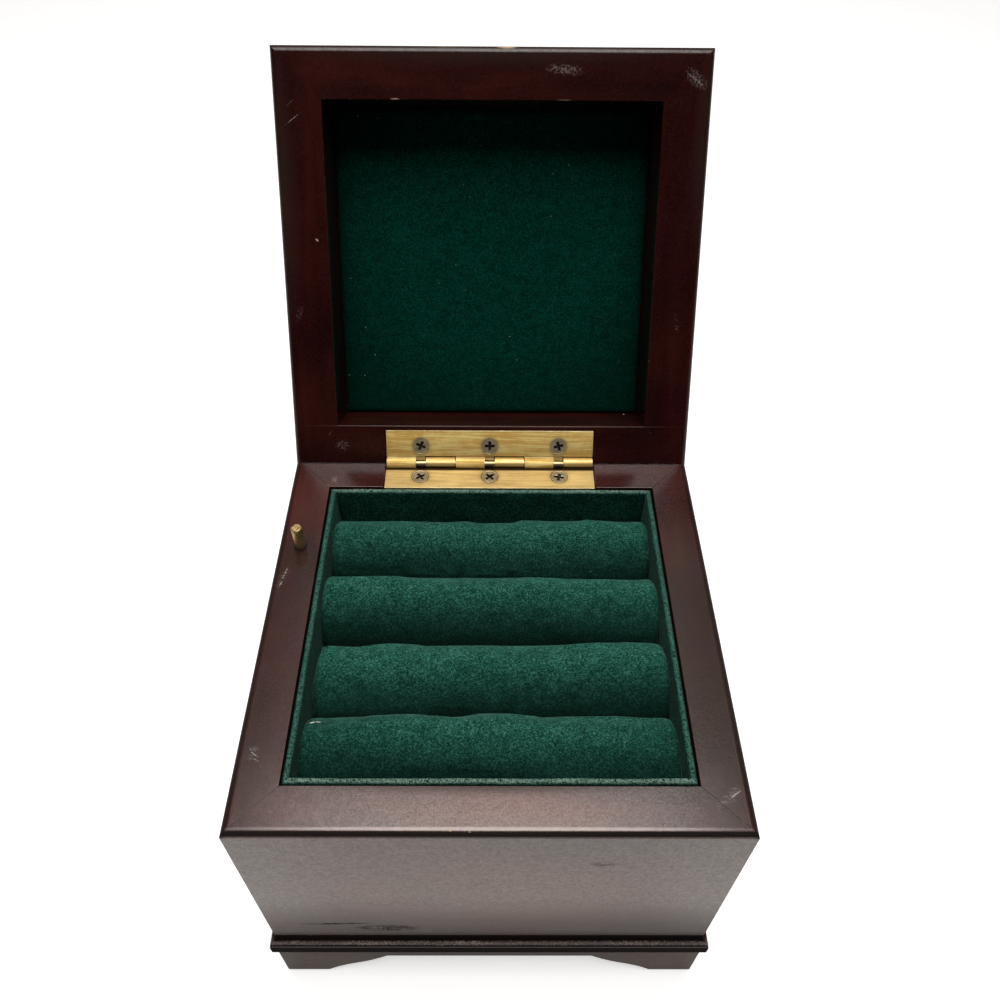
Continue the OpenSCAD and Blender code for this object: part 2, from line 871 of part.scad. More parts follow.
module winding_shaft() {
  from_z = key_bore_from - apron_h;
  color(steel) on_movement() at_barrel(from_z)
    cylinder(h = barrel_top + over - from_z, r = winder_r);
}

// A butterfly key, screwed onto the lower end of the winding shaft
module winding_key() {
  lobe_r = key_wing_h / 2;
  lobe_x = key_w / 2 - lobe_r;
  bridge_h = 6;
  color(brass) on_movement() difference() {
    union() {
      at_barrel(key_hub_from - apron_h)
        cylinder(h = bottom_z - key_hub_gap - key_hub_from, r = 2 * winder_r);
      at_barrel(key_z + lobe_r - apron_h) translate([0, key_wing_t / 2, 0]) rotate([90, 0, 0])
        linear_extrude(key_wing_t) difference() {
          union() {
            for (s = [-1, 1]) translate([s * lobe_x, 0]) circle(lobe_r);
            square([2 * lobe_x, bridge_h], center = true);
          }
          for (s = [-1, 1]) translate([s * lobe_x, 0]) circle(lobe_r / 3);
        }
    }
    at_barrel(key_bore_from - seat - apron_h) cylinder(h = apron_h, r = winder_r + seat);
  }
}

// A spur gear along X, with n straight-sided teeth from radius root_r to radius tip_r
module spur(n, root_r, tip_r, wide) {
  rotate([0, 90, 0]) {
    cylinder(h = wide, r = root_r);
    for (i = [0 : n - 1]) rotate([0, 0, i * 360 / n])
      translate([0, -gear_tooth_w / 2, 0]) cube([tip_r, gear_tooth_w, wide]);
  }
}

// A gear of the governor train
module train_gear(n, wide) {
  pitch_r = gear_module * n / 2;
  spur(n, pitch_r - 1.1 * gear_module, pitch_r + 0.85 * gear_module, wide);
}

// The pinned cylinder with its axle, the pinion that the barrel drives and the governor's drive
module music_cylinder() {
  gear_t = 1;
  rows = 4;
  tracks = 8;
  stagger = 5;
  pin_r = 0.2;
  color(brass) on_movement() translate([0, cylinder_y, axle_z]) union() {
    shaft(-cylinder_l, 0, 0, 0, cylinder_r);
    shaft(left_post_x, barrel_x - crown_r + axle_r, 0, 0, axle_r);
    translate([barrel_x - crown_r - pinion_w / 2, 0, 0])
      spur(pinion_n, pinion_r - 1.15, pinion_r + 0.45, pinion_w);
    translate([wheel_x, 0, 0]) train_gear(wheel_n, gear_t);
    for (i = [0 : rows - 1], k = [0 : tracks - 1])
      translate([-(k + 0.5) * cylinder_l / tracks, 0, 0])
        rotate([(i + (k * stagger % tracks) / tracks) * 360 / rows, 0, 0])
          cylinder(h = cylinder_r + pin_h, r = pin_r, $fn = 16);
  }
}

comb_screw_shares = [0.25, 0.75];

module at_comb_screws() {
  for (share = comb_screw_shares)
    translate([-cylinder_l * share, comb_y - comb_l + comb_back / 2, axle_z + comb_t / 2]) children();
}

module music_comb() {
  slot = 0.3;
  side = 1;
  comb_w = cylinder_l - 2 * side;
  pitch = comb_w / comb_n;
  color(steel) on_movement() translate([side - cylinder_l, comb_y - comb_l, axle_z - comb_t / 2])
    difference() {
      cube([comb_w, comb_l, comb_t]);
      for (i = [1 : comb_n - 1])
        translate([i * pitch - slot / 2, comb_back, -over]) cube([slot, comb_l, comb_t + 2 * over]);
      for (share = comb_screw_shares)
        translate([cylinder_l * (1 - share) - side, comb_back / 2, -over])
          cylinder(h = comb_t + 2 * over, r = comb_screw_r + seat);
    }
}

module comb_screws() {
  color(steel) on_movement() at_comb_screws() pan_screw(comb_screw_l, comb_screw_r, 1.8 * comb_screw_r);
}

// The second arbor: a pinion driven by the cylinder and the wheel that faces the worm
module governor_wheel() {
  leaf_l = 1.4;
  color(brass) on_movement() translate([0, train_y, axle_z]) union() {
    shaft(fan_x - worm_wheel_t, inner_post_x + 1, 0, 0, train_r);
    translate([wheel_x - (leaf_l - 1) / 2, 0, 0]) rotate([180 / leaf_n, 0, 0])
      train_gear(leaf_n, leaf_l);
    shaft(fan_x - worm_wheel_t / 2, fan_x + worm_wheel_t / 2, 0, 0, worm_wheel_r);
  }
}

// The worm shaft stands upright and carries the air brake
module governor_fan() {
  blade_t = 0.6;
  worm_l = 2 * worm_wheel_r - 1;
  shaft_z = plate_t + pass;
  color(steel) on_movement() translate([fan_x, fan_y, 0]) union() {
    translate([0, 0, shaft_z]) cylinder(h = fan_z + fan_h - shaft_z, r = train_r);
    translate([0, 0, axle_z - worm_l / 2]) cylinder(h = worm_l, r = worm_r);
    translate([-fan_r, -blade_t / 2, fan_z]) cube([2 * fan_r, blade_t, fan_h]);
    translate([0, 0, fan_z]) cylinder(h = fan_h, r = worm_r);
  }
}

module governor_bracket() {
  ear_t = 1.2;
  ear_front = 1.3;
  wide = 5;
  back_t = 1.6;
  back_room = 1.4;
  back_y = fan_y + worm_r + back_room;
  color(steel) on_movement() difference() {
    union() {
      translate([fan_x - wide / 2, back_y, plate_t])
        cube([wide, back_t, fan_z - pass - plate_t]);
      for (z = [plate_t, fan_z - pass - ear_t])
        translate([fan_x - wide / 2, fan_y - ear_front, z])
          cube([wide, back_y + back_t / 2 - fan_y + ear_front, ear_t]);
    }
    translate([fan_x, fan_y, 0]) cylinder(h = fan_z, r = train_r + running);
  }
}

front_board();
right_board();
back_board();
left_board();
moulding_front();
moulding_right();
moulding_back();
moulding_left();
apron_front();
apron_right();
apron_back();
apron_left();
corner_blocks();
bottom_panel();
bottom_screws();
tray_rests();
tray_front();
tray_right();
tray_back();
tray_left();
tray_floor();
roll_core(1);  // roll_core_1
roll_core(2);  // roll_core_2
roll_core(3);  // roll_core_3
roll_core(4);  // roll_core_4
roll_cover(1);  // roll_cover_1
roll_cover(2);  // roll_cover_2
roll_cover(3);  // roll_cover_3
roll_cover(4);  // roll_cover_4
base_leaf();
hinge_pin();
base_leaf_screws();
lid_leaf();
lid_leaf_screws();
lid_front();
lid_right();
lid_back();
lid_left();
lid_panel();
lid_lining();
plunger_rod();
plunger_collar();
stop_arm();
plunger_spring();
movement_plate();
movement_screws();
spring_barrel();
mainspring();
winding_shaft();
winding_key();
music_cylinder();
music_comb();
comb_screws();
governor_wheel();
governor_fan();
governor_bracket();
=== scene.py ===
"""Dresses the ring display box: lacquered boards, suede rolls, felt, brass and a studio."""

import logging
import math
from dataclasses import dataclass
from enum import Enum
from functools import partial, reduce
from typing import Any, Sequence

import bmesh
import bpy
from mathutils import Matrix, Vector, noise


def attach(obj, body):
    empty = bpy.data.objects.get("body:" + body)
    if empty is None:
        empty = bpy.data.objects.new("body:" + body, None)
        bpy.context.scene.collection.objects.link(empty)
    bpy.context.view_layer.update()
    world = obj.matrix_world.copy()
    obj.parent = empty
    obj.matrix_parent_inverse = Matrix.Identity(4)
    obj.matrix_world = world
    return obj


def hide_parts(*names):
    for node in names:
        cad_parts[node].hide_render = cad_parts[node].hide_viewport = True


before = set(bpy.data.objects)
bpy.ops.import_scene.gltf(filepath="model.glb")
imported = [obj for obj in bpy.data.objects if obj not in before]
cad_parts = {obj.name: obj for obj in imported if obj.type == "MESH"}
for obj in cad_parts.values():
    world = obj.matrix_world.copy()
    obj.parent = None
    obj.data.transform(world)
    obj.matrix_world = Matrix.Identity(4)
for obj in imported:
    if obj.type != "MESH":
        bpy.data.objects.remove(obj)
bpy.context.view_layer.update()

LOG = logging.getLogger("ring_box")
MM = 0.001

Colour = tuple[float, float, float]
Point = tuple[float, float, float]

# The box as the solids have it, in mm
BOX_W = 133.0
BOX_D = 130.0
RIM_Z = 113.5
LID_Z = 114.3
LID_AXIS = (0.0, 63.0, 113.9)
LID_ANGLE = math.radians(120)
# The mitres lie where the distances in from a side and from an end are equal
MITRE_SHIFT = (BOX_W - BOX_D) / 2

# Cloth over padding: size of its cells in mm, how loose it is and how long it settles
VOXEL = 1.3
LOOSE = 0.04
CLOTH_STEPS = 20

# Points of a solid nearer than this gap in mm are welded, faces within the first angle of each
# other are merged, and edges from the second angle up are softened
WELD_GAP = 0.002
FLAT_ANGLE = math.radians(0.4)
SHARP_ANGLE = math.radians(35)
# The half size of a mark that runs right across the box, in mm
ACROSS = 500.0


class MarkKind(Enum):
    """The kinds of mark on a surface: real wear, and painted light and shade."""

    SCUFF = "scuff"
    SCRATCH = "scratch"
    DENT = "dent"
    CHIP = "chip"
    # Paler wood with dust from fading; on the lit middle of the front rail and front face this is
    # painted light
    FADED_AND_LIT = "faded"
    # Painted shade: near-black painted into corners, recesses, dark roundovers, contact lines and
    # beside the hinge's knuckles
    PAINTED_SHADE = "grime"
    # A tint in the mark's own tone: dull and red patches, lint threads, painted highlight lines,
    # and painted shade outside a lit middle
    TONED = "bloom"


@dataclass(frozen=True)
class Mark:
    """One marked place, of real wear or of painted light and shade, in mm and degrees with the lid
    shut, at its full share out to its core.
    """

    wear: MarkKind
    at: Point
    half: Point
    spin: float = 0.0
    share: float = 1.0
    core: float = 0.15
    tone: Colour = (0.036, 0.03, 0.024)
    tilt: float = 0.0


# A short maker for each kind of mark, of real wear and of painted light and shade, in the order in
# which their enum names them
scuff, scratch, dent, chip, faded, grime, bloom = (partial(Mark, wear) for wear in MarkKind)


class Signal:
    """What a node's output carries. Arithmetic on it adds Math nodes."""

    def __init__(self, graph: "Graph", socket: bpy.types.NodeSocket) -> None:
        """Keeps the output and the material that it belongs to."""
        self.graph, self.socket = graph, socket

    def _math(self, operation: str, *values: Any) -> "Signal":
        """Adds one Math node on these values."""
        return self.graph.add("ShaderNodeMath", {"operation": operation}, dict(enumerate(values)))

    def __add__(self, other: Any) -> "Signal":
        """Sum."""
        return self._math("ADD", self, other)

    def __sub__(self, other: Any) -> "Signal":
        """Difference."""
        return self._math("SUBTRACT", self, other)

    def __rsub__(self, other: Any) -> "Signal":
        """Difference, with the number first."""
        return self._math("SUBTRACT", other, self)

    def __mul__(self, other: Any) -> "Signal":
        """Product."""
        return self._math("MULTIPLY", self, other)

    def __abs__(self) -> "Signal":
        """Size without its sign."""
        return self._math("ABSOLUTE", self)

    def __gt__(self, other: Any) -> "Signal":
        """1 where this is greater, and 0 elsewhere."""
        return self._math("GREATER_THAN", self, other)

    def most(self, other: Any) -> "Signal":
        """The greater of the two."""
        return self._math("MAXIMUM", self, other)

    def repeated(self) -> "Signal":
        """What is left after the whole number."""
        return self._math("FRACT", self)

    __radd__ = __add__
    __rmul__ = __mul__


class Graph:
    """The nodes of one material, or of the world, while they are being made."""

    def __init__(self, owner: bpy.types.Material | bpy.types.World) -> None:
        """Starts the owner's nodes afresh.

        Args:
            owner: the material or the world.
        """
        owner.use_nodes = True
        self.owner, self.tree = owner, owner.node_tree
        self.tree.nodes.clear()

    def add(self, kind: str, settings: dict[str, Any] | None = None,
            values: dict[int | str, Any] | None = None, output: int | str = 0) -> Signal:
        """Adds one node.

        Args:
            kind: the node's Blender type.
            settings: its own settings, set before its sockets; "stops" fills a colour ramp.
            values: a number, colour, vector or Signal for each socket named or numbered.
            output: the output that is wanted.

        Returns:
            The wanted output.
        """
        node = self.tree.nodes.new(kind)
        for name, value in (settings or {}).items():
            if name == "stops":
                self._fill_ramp(node.color_ramp, value)
            else:
                setattr(node, name, value)
        for name, value in (values or {}).items():
            self._feed(node.inputs[name], value)
        return Signal(self, node.outputs[output])

    def _fill_ramp(self, ramp: bpy.types.ColorRamp, stops: Sequence[tuple[float, Colour]]) -> None:
        """Gives a colour ramp its stops.

        Args:
            ramp: the ramp.
            stops: position and colour of each stop, in order.
        """
        while len(ramp.elements) < len(stops):
            ramp.elements.new(1.0)
        for element, (position, colour) in zip(ramp.elements, stops):
            element.position = position
            element.color = (*colour, 1.0)

    def _feed(self, socket: bpy.types.NodeSocket, value: Any) -> None:
        """Links or sets one input.

        Args:
            socket: the input.
            value: a Signal, number, colour or vector.
        """
        if isinstance(value, Signal):
            self.tree.links.new(value.socket, socket)
        elif socket.type == "RGBA" and len(value) == 3:
            socket.default_value = (*value, 1.0)
        else:
            socket.default_value = value

    def place(self) -> Signal:
        """Where a point of the piece is at rest, in metres."""
        return self.add("ShaderNodeTexCoord", output="Object")

    def closed_lid(self) -> Signal:
        """Turns a point of the open lid into its place on the shut one.

        Returns:
            The place, in metres.
        """
        pivot = Vector(LID_AXIS) * MM
        turn = Matrix.Rotation(LID_ANGLE, 3, "X")
        return self.add("ShaderNodeMapping", {"vector_type": "POINT"},
                        {0: self.place(), 1: pivot - turn @ pivot, 2: (LID_ANGLE, 0, 0)})

    def parts(self, vector: Signal) -> tuple[Signal, Signal, Signal]:
        """Splits a vector into its three numbers.

        Args:
            vector: the vector.

        Returns:
            X, Y and Z.
        """
        first = self.add("ShaderNodeSeparateXYZ", values={0: vector})
        node = first.socket.node
        return first, Signal(self, node.outputs[1]), Signal(self, node.outputs[2])

    def joined(self, x: Any, y: Any, z: Any) -> Signal:
        """Joins three numbers into a vector."""
        return self.add("ShaderNodeCombineXYZ", values={0: x, 1: y, 2: z})

    def noise(self, at: Signal, scale: float, detail: float = 2.0, rough: float = 0.5,
              bent: float = 0.0) -> Signal:
        """Noise from 0 to 1: clouds per metre, finer layers, their strength and their bend."""
        return self.add("ShaderNodeTexNoise", values={
            "Vector": at, "Scale": scale, "Detail": detail, "Roughness": rough,
            "Distortion": bent})

    def streaks(self, parts: Sequence[Signal], by: Point, detail: float = 2.0,
                rough: float = 0.5, bent: float = 0.0) -> Signal:
        """Noise with its own number of clouds per metre along each axis."""
        at = self.joined(*(part * pitch for part, pitch in zip(parts, by)))
        return self.noise(at, 1.0, detail, rough, bent)

    def cells(self, at: Signal, scale: float) -> Signal:
        """Distance to the nearest of so many scattered points per metre, in cells."""
        return self.add("ShaderNodeTexVoronoi", None, {"Vector": at, "Scale": scale}, "Distance")

    def between(self, value: Signal, low: float, high: float, first: float = 0.0,
                last: float = 1.0) -> Signal:
        """Steps smoothly from first to last while the value goes from low to high."""
        return self.add("ShaderNodeMapRange", {"interpolation_type": "SMOOTHSTEP"},
                        {0: value, 1: low, 2: high, 3: first, 4: last})

    def tint(self, share: Any, first: Any, second: Any) -> Signal:
        """Mixes that share of the second colour into the first."""
        return self.add("ShaderNodeMix", {"data_type": "RGBA"}, {0: share, 6: first, 7: second}, 2)

    def bump(self, height: Signal, distance: float, strength: float = 1.0,
             under: Signal | None = None) -> Signal:
        """A bumped normal.

        Args:
            height: height of the surface, from 0 to 1.
            distance: what 1 stands for, in mm.
            strength: how much of it shows.
            under: a bump that this one lies on.

        Returns:
            The normal.
        """
        values = {"Height": height, "Distance": distance * MM, "Strength": strength}
        if under is not None:
            values["Normal"] = under
        return self.add("ShaderNodeBump", values=values)

    def inside(self, at: Signal, mark: Mark) -> Signal:
        """How much of a mark a point has.

        Args:
            at: the point, in metres.
            mark: the mark, a turned ellipsoid.

        Returns:
            The mark's share from its middle out to its core, and 0 outside the ellipsoid.
        """
        turn = (0.0, math.radians(mark.tilt), math.radians(mark.spin))
        local = self.add("ShaderNodeMapping", {"vector_type": "TEXTURE"}, {
            0: at, 1: Vector(mark.at) * MM, 2: turn, 3: Vector(mark.half) * MM})
        away = self.add("ShaderNodeVectorMath", {"operation": "LENGTH"}, {0: local}, "Value")
        return self.between(away, mark.core, 1.0, mark.share, 0.0)

    def tone_patches(self, colour: Signal, at: Signal, marks: Sequence[Mark]) -> Signal:
        """Tints a colour with each mark's own tone; some marks are real patches and lint, others
        painted light and shade.

        Args:
            colour: the colour.
            at: the point, in metres.
            marks: the marks, in the order in which they are laid.

        Returns:
            The tinted colour.
        """
        for mark in marks:
            colour = self.tint(self.inside(at, mark), colour, mark.tone)
        return colour

    def rays(self) -> tuple[Signal, Signal]:
        """Tells the rays apart.

        Returns:
            1 for a ray from the camera, and 1 for one that was mirrored or let through.
        """
        camera = self.add("ShaderNodeLightPath", output="Is Camera Ray")
        outputs = camera.socket.node.outputs
        return camera, Signal(self, outputs["Is Glossy Ray"]).most(
            Signal(self, outputs["Is Transmission Ray"]))

    def finish(self, values: dict[str, Any]) -> bpy.types.Material:
        """Ends the material in a Principled shader.

        Args:
            values: the shader's sockets by name.

        Returns:
            The finished material.
        """
        shader = self.add("ShaderNodeBsdfPrincipled", values=values)
        self.add_output(shader)
        return self.owner

    def add_output(self, shader: Signal, kind: str = "ShaderNodeOutputMaterial") -> None:
        """Sends a shader to an output of that kind."""
        output = self.tree.nodes.new(kind)
        self.tree.links.new(shader.socket, output.inputs[0])


class Run(Enum):
    """Which way the grain runs in the boards of one finish."""

    MITRED = "mitred"
    ALONG_X = "along_x"


@dataclass(frozen=True)
class Harm:
    """What one kind of wear does where its own texture rises from low to high."""

    low: float
    high: float
    boost: float
    rough: float = 0.0
    strips: float = 0.0
    depth: float = 0.0


HARMS = {
    MarkKind.SCRATCH: Harm(0.46, 0.58, 0.1, depth=2.0),
    MarkKind.DENT: Harm(0.48, 0.55, 0.06, 0.5, 1.0, 6.0),
    MarkKind.SCUFF: Harm(0.54, 0.72, 0.1, 0.25),
    MarkKind.CHIP: Harm(0.5, 0.6, 0.4, 0.3, depth=4.0)}


@dataclass
class Face:
    """A wooden face while its finish is being made, with the lid shut."""

    at: Signal
    along: tuple[Signal, Signal, Signal]
    seam: Signal | None
    tone: Signal
    clouds: Signal
    fine: Signal
    specks: Signal
    colour: Signal
    rough: Signal
    coat: Signal
    height: Signal


@dataclass(frozen=True)
class Lacquered:
    """Stained hardwood under satin lacquer."""

    name: str
    run: Run = Run.MITRED
    on_lid: bool = False
    arris: bool = False
    dark: Colour = (0.016, 0.0015, 0.0011)
    mid: Colour = (0.038, 0.0044, 0.0032)
    light: Colour = (0.064, 0.01, 0.0066)
    scuffed: Colour = (0.36, 0.31, 0.29)
    bare: Colour = (0.52, 0.36, 0.24)
    # Tone of the fade marks: fading, and painted light on the lit front
    faded: Colour = (0.13, 0.038, 0.014)
    # Near-black of open mitres and dents, and of painted shade
    seam_dent_and_shade: Colour = (0.003, 0.0015, 0.0012)
    roughness: float = 0.22
    shine: float = 0.26
    coat: float = 0.5
    coat_roughness: float = 0.19
    seam: float = 0.5
    dust: float = 0.1
    film: float = 0.035
    scuff_share: float = 0.45
    rings: Point = (22.0, 170.0, 170.0)
    pores: Point = (220.0, 2600.0, 2600.0)
    rub: Point = (2600.0, 300.0, 300.0)
    tear: Point = (330.0, 1900.0, 1900.0)
    marks: tuple[Mark, ...] = ()

    def _grain(self, graph: Graph, at: Signal) -> tuple[Signal, Signal | None]:
        """Turns a point into one that lies along the board's own grain.

        Args:
            graph: the material.
            at: the point with the lid shut.

        Returns:
            The point along the grain, and how much of a mitre's line is at it.
        """
        x, y, z = graph.parts(at)
        if self.run is Run.ALONG_X:
            return at, None
        offset = abs(x) - abs(y) - MITRE_SHIFT * MM
        side = offset > 0
        along = x + (y - x) * side
        across = y + (x - y) * side
        board = side * 2.7 + (across > 0) * 1.3
        seam = graph.between(abs(offset), 0.02 * MM, 0.12 * MM, self.seam, 0.0)
        return graph.joined(along + board, across + board, z), seam

    def _marked(self, graph: Graph, at: Signal, wear: MarkKind) -> Signal | None:
        """How much of one kind of mark, real wear or painted light and shade, a point has, or None
        if no mark is of that kind.
        """
        shares = [graph.inside(at, mark) for mark in self.marks if mark.wear is wear]
        return reduce(Signal.most, shares) if shares else None

    def _new(self, graph: Graph) -> Face:
        """Makes the wood and its lacquer as they were when new.

        Args:
            graph: the material.

        Returns:
            The face.
        """
        at = graph.closed_lid() if self.on_lid else graph.place()
        grain, seam = self._grain(graph, at)
        along = graph.parts(grain)
        rings = graph.streaks(along, self.rings, 3.0, 0.5, 0.5)
        pores = graph.between(graph.streaks(along, self.pores, 1.0), 0.6, 0.72)
        clouds = graph.noise(at, 34.0, 3.0)
        peel = graph.noise(at, 900.0, 1.0)
        fine = graph.noise(at, 1700.0, 2.0, 0.6)
        tone = graph.between(rings * 0.45 + clouds * 0.55, 0.25, 0.75)
        wood = graph.add("ShaderNodeValToRGB", {
            "stops": [(0.0, self.dark), (0.5, self.mid), (1.0, self.light)]}, {0: tone})
        mottle = graph.noise(at, 620.0, 3.0, 0.7) * 0.4 + fine * 0.6
        return Face(
            at=at, along=along, seam=seam, tone=tone, clouds=clouds, fine=fine,
            specks=graph.noise(at, 2600.0, 3.0, 0.7),
            colour=graph.tint(pores * 0.35, wood, self.dark),
            rough=self.roughness + (clouds - 0.5) * 0.14 + (peel - 0.5) * 0.08,
            coat=graph.between(mottle, 0.32, 0.68, 0.5, 1.46) * self.coat,
            height=peel * 0.6 - pores * 0.3 + rings * 0.15)

    def _fade(self, graph: Graph, face: Face) -> None:
        """Fades the wood at the fade marks, which are partly painted light, lays dust and the toned
        marks on it, dull and red patches and painted highlight lines, and opens its mitres.

        Args:
            graph: the material.
            face: the face.
        """
        dusty = self.film
        marked = self._marked(graph, face.at, MarkKind.FADED_AND_LIT)
        if marked is not None:
            bleached_and_lit = marked * graph.between(face.tone, 0.0, 1.0, 0.6, 1.0)
            face.colour = graph.tint(bleached_and_lit, face.colour, self.faded)
            dusty = marked * self.dust + self.film
        dust = graph.between(face.specks * 0.6 + face.fine * 0.4, 0.44, 0.6)
        face.colour = graph.tint(dust * dusty, face.colour, self.scuffed)
        # Tints in each mark's own tone: dull and red patches, and painted highlight lines
        toned_marks = [mark for mark in self.marks if mark.wear is MarkKind.TONED]
        face.colour = graph.tone_patches(face.colour, face.at, toned_marks)
        if face.seam is not None:
            face.colour = graph.tint(face.seam, face.colour, self.seam_dent_and_shade)
            face.height = face.height - face.seam

    def _soil(self, graph: Graph, face: Face) -> None:
        """Paints shade into corners, recesses and dark bands along edges, and rubs the softened
        edges bare.

        Args:
            graph: the material.
            face: the face.
        """
        # Painted shade: near-black, rougher and with less coat
        marked = self._marked(graph, face.at, MarkKind.PAINTED_SHADE)
        if marked is not None:
            shown = marked * graph.between(face.specks, 0.3, 0.62, 1.0, 0.88)
            face.colour = graph.tint(shown, face.colour, self.seam_dent_and_shade)
            face.rough = face.rough + shown * 0.55
            face.coat = (1 - shown) * (1 - shown) * face.coat
        if self.arris:
            patches = graph.noise(face.at, 260.0, 3.0, 0.6) + face.clouds * 0.5
            paler = graph.between(patches, 0.84, 1.02)
            face.colour = graph.tint(paler * 0.45, face.colour, self.bare)
            face.rough = face.rough + paler * 0.2

    def _harm(self, graph: Graph, face: Face) -> None:
        """Adds the scratches, dents, scuffs and chips.

        Args:
            graph: the material.
            face: the face.
        """
        rubs = graph.streaks(face.along, self.rub, 2.0, 0.6)
        looks = {
            MarkKind.SCRATCH: (graph.noise(face.at, 1300.0, 2.0, 0.6), 1.0, self.scuffed),
            MarkKind.DENT: (graph.streaks(face.along, self.tear, 4.0, 0.7), 0.95, self.seam_dent_and_shade),
            MarkKind.SCUFF: (face.specks * 0.45 + rubs * 0.55, self.scuff_share, self.scuffed),
            MarkKind.CHIP: (face.specks, 1.0, self.bare)}
        for wear, harm in HARMS.items():
            marked = self._marked(graph, face.at, wear)
            if marked is None:
                continue
            texture, share, shade = looks[wear]
            shown = marked * graph.between(texture + marked * harm.boost, harm.low, harm.high)
            face.colour = graph.tint(shown * share, face.colour, shade)
            face.rough = face.rough + shown * harm.rough
            face.coat = (1 - shown * harm.strips) * face.coat
            face.height = face.height - shown * harm.depth

    def make(self) -> bpy.types.Material:
        """Makes the material.

        Returns:
            The wood, its grain, its lacquer, its wear, and its painted light and shade.
        """
        graph = Graph(bpy.data.materials.new(self.name))
        face = self._new(graph)
        for step in (self._fade, self._soil, self._harm):
            step(graph, face)
        return graph.finish({
            "Base Color": face.colour, "Roughness": face.rough,
            "Specular IOR Level": self.shine, "Coat Weight": face.coat,
            "Coat Roughness": self.coat_roughness,
            "Normal": graph.bump(face.height, 0.03, 0.7)})


@dataclass(frozen=True)
class Suede:
    """Dyed suede or velvet with a short nap."""

    name: str
    deep: Colour = (0.001, 0.012, 0.0085)
    pile: Colour = (0.007, 0.052, 0.0385)
    brushed: Colour = (0.042, 0.17, 0.132)
    lint: Colour = (0.42, 0.55, 0.5)
    # The walls' paler top band, from a height up: nap paled by wear, and a painted sheen highlight
    paler: Colour = (0.15, 0.24, 0.2)
    wear_and_lit_from: float = 0.0
    wear_and_lit_rise: float = 0.7
    # Painted shade across each roll, darkest at its front crease, repeated at the row pitch
    rows_from: float = 0.0
    row_pitch: float = 0.0
    row_shade: float = 0.9
    # A lit middle; outside it the colour is painted darker, painted shade
    light_pool: Mark | None = None
    gloss: float = 0.08
    sheen: float = 0.3
    sheen_tint: Colour = (0.55, 0.92, 0.8)
    sheen_roughness: float = 0.36
    patch: float = 170.0
    patch_share: float = 0.12
    lint_share: float = 0.35
    threads: tuple[Mark, ...] = ()

    def make(self) -> bpy.types.Material:
        """Makes the material.

        Returns:
            The nap, the places where it was brushed, painted shade across each row and outside a
            lit middle, a paler top of nap paled by wear with a painted sheen, and the lint on it.
        """
        graph = Graph(bpy.data.materials.new(self.name))
        at = graph.place()
        fibre = graph.noise(at, 3100.0, 2.0, 0.6)
        tuft = graph.noise(at, 1450.0, 3.0, 0.65)
        patch = graph.noise(at, self.patch, 3.0, 0.55, 0.6)
        colour = graph.add("ShaderNodeValToRGB", {
            "stops": [(0.0, self.deep), (0.5, self.pile), (1.0, self.brushed)]},
            {0: graph.between((tuft * 0.45 + fibre * 0.55) * (1 - self.patch_share)
                              + patch * self.patch_share, 0.35, 0.66)})
        # Painted shade: each roll darkens towards its front crease
        if self.row_pitch:
            y = graph.parts(at)[1] * (1 / (self.row_pitch * MM))
            row = (y - self.rows_from / self.row_pitch).repeated()
            colour = graph.tint(graph.between(row, -0.1, 1.0, self.row_shade, 0.0), colour,
                                self.deep)
        # Painted shade outside the lit middle
        if self.light_pool:
            dim = self.light_pool.share - graph.inside(at, self.light_pool)
            colour = graph.tint(dim, colour, self.deep)
        # The paler top band: nap paled by wear, and a painted sheen highlight
        if self.wear_and_lit_from:
            crest = graph.between(graph.parts(at)[2], self.wear_and_lit_from * MM,
                                  (self.wear_and_lit_from + self.wear_and_lit_rise) * MM)
            colour = graph.tint(crest * graph.between(fibre * 0.6 + tuft * 0.4, 0.4, 0.58),
                                colour, self.paler)
        spread = graph.noise(at, 60.0, 2.0)
        lint = graph.between(graph.cells(at, 240.0), 0.0, 0.075, 1.0, 0.0)
        lint = lint * graph.between(spread, 0.52, 0.64)
        colour = graph.tint(lint * self.lint_share, colour, self.lint)
        colour = graph.tone_patches(colour, at, self.threads)
        nap = graph.bump(tuft * 0.6 + fibre * 0.4 + lint * 0.3, 0.34, 0.75)
        return graph.finish({
            "Base Color": colour, "Roughness": 0.92 + (patch - 0.5) * 0.1,
            "Specular IOR Level": self.gloss, "Sheen Weight": self.sheen,
            "Sheen Roughness": self.sheen_roughness, "Sheen Tint": self.sheen_tint,
            "Normal": graph.bump(patch, 0.5, 0.35, nap)})


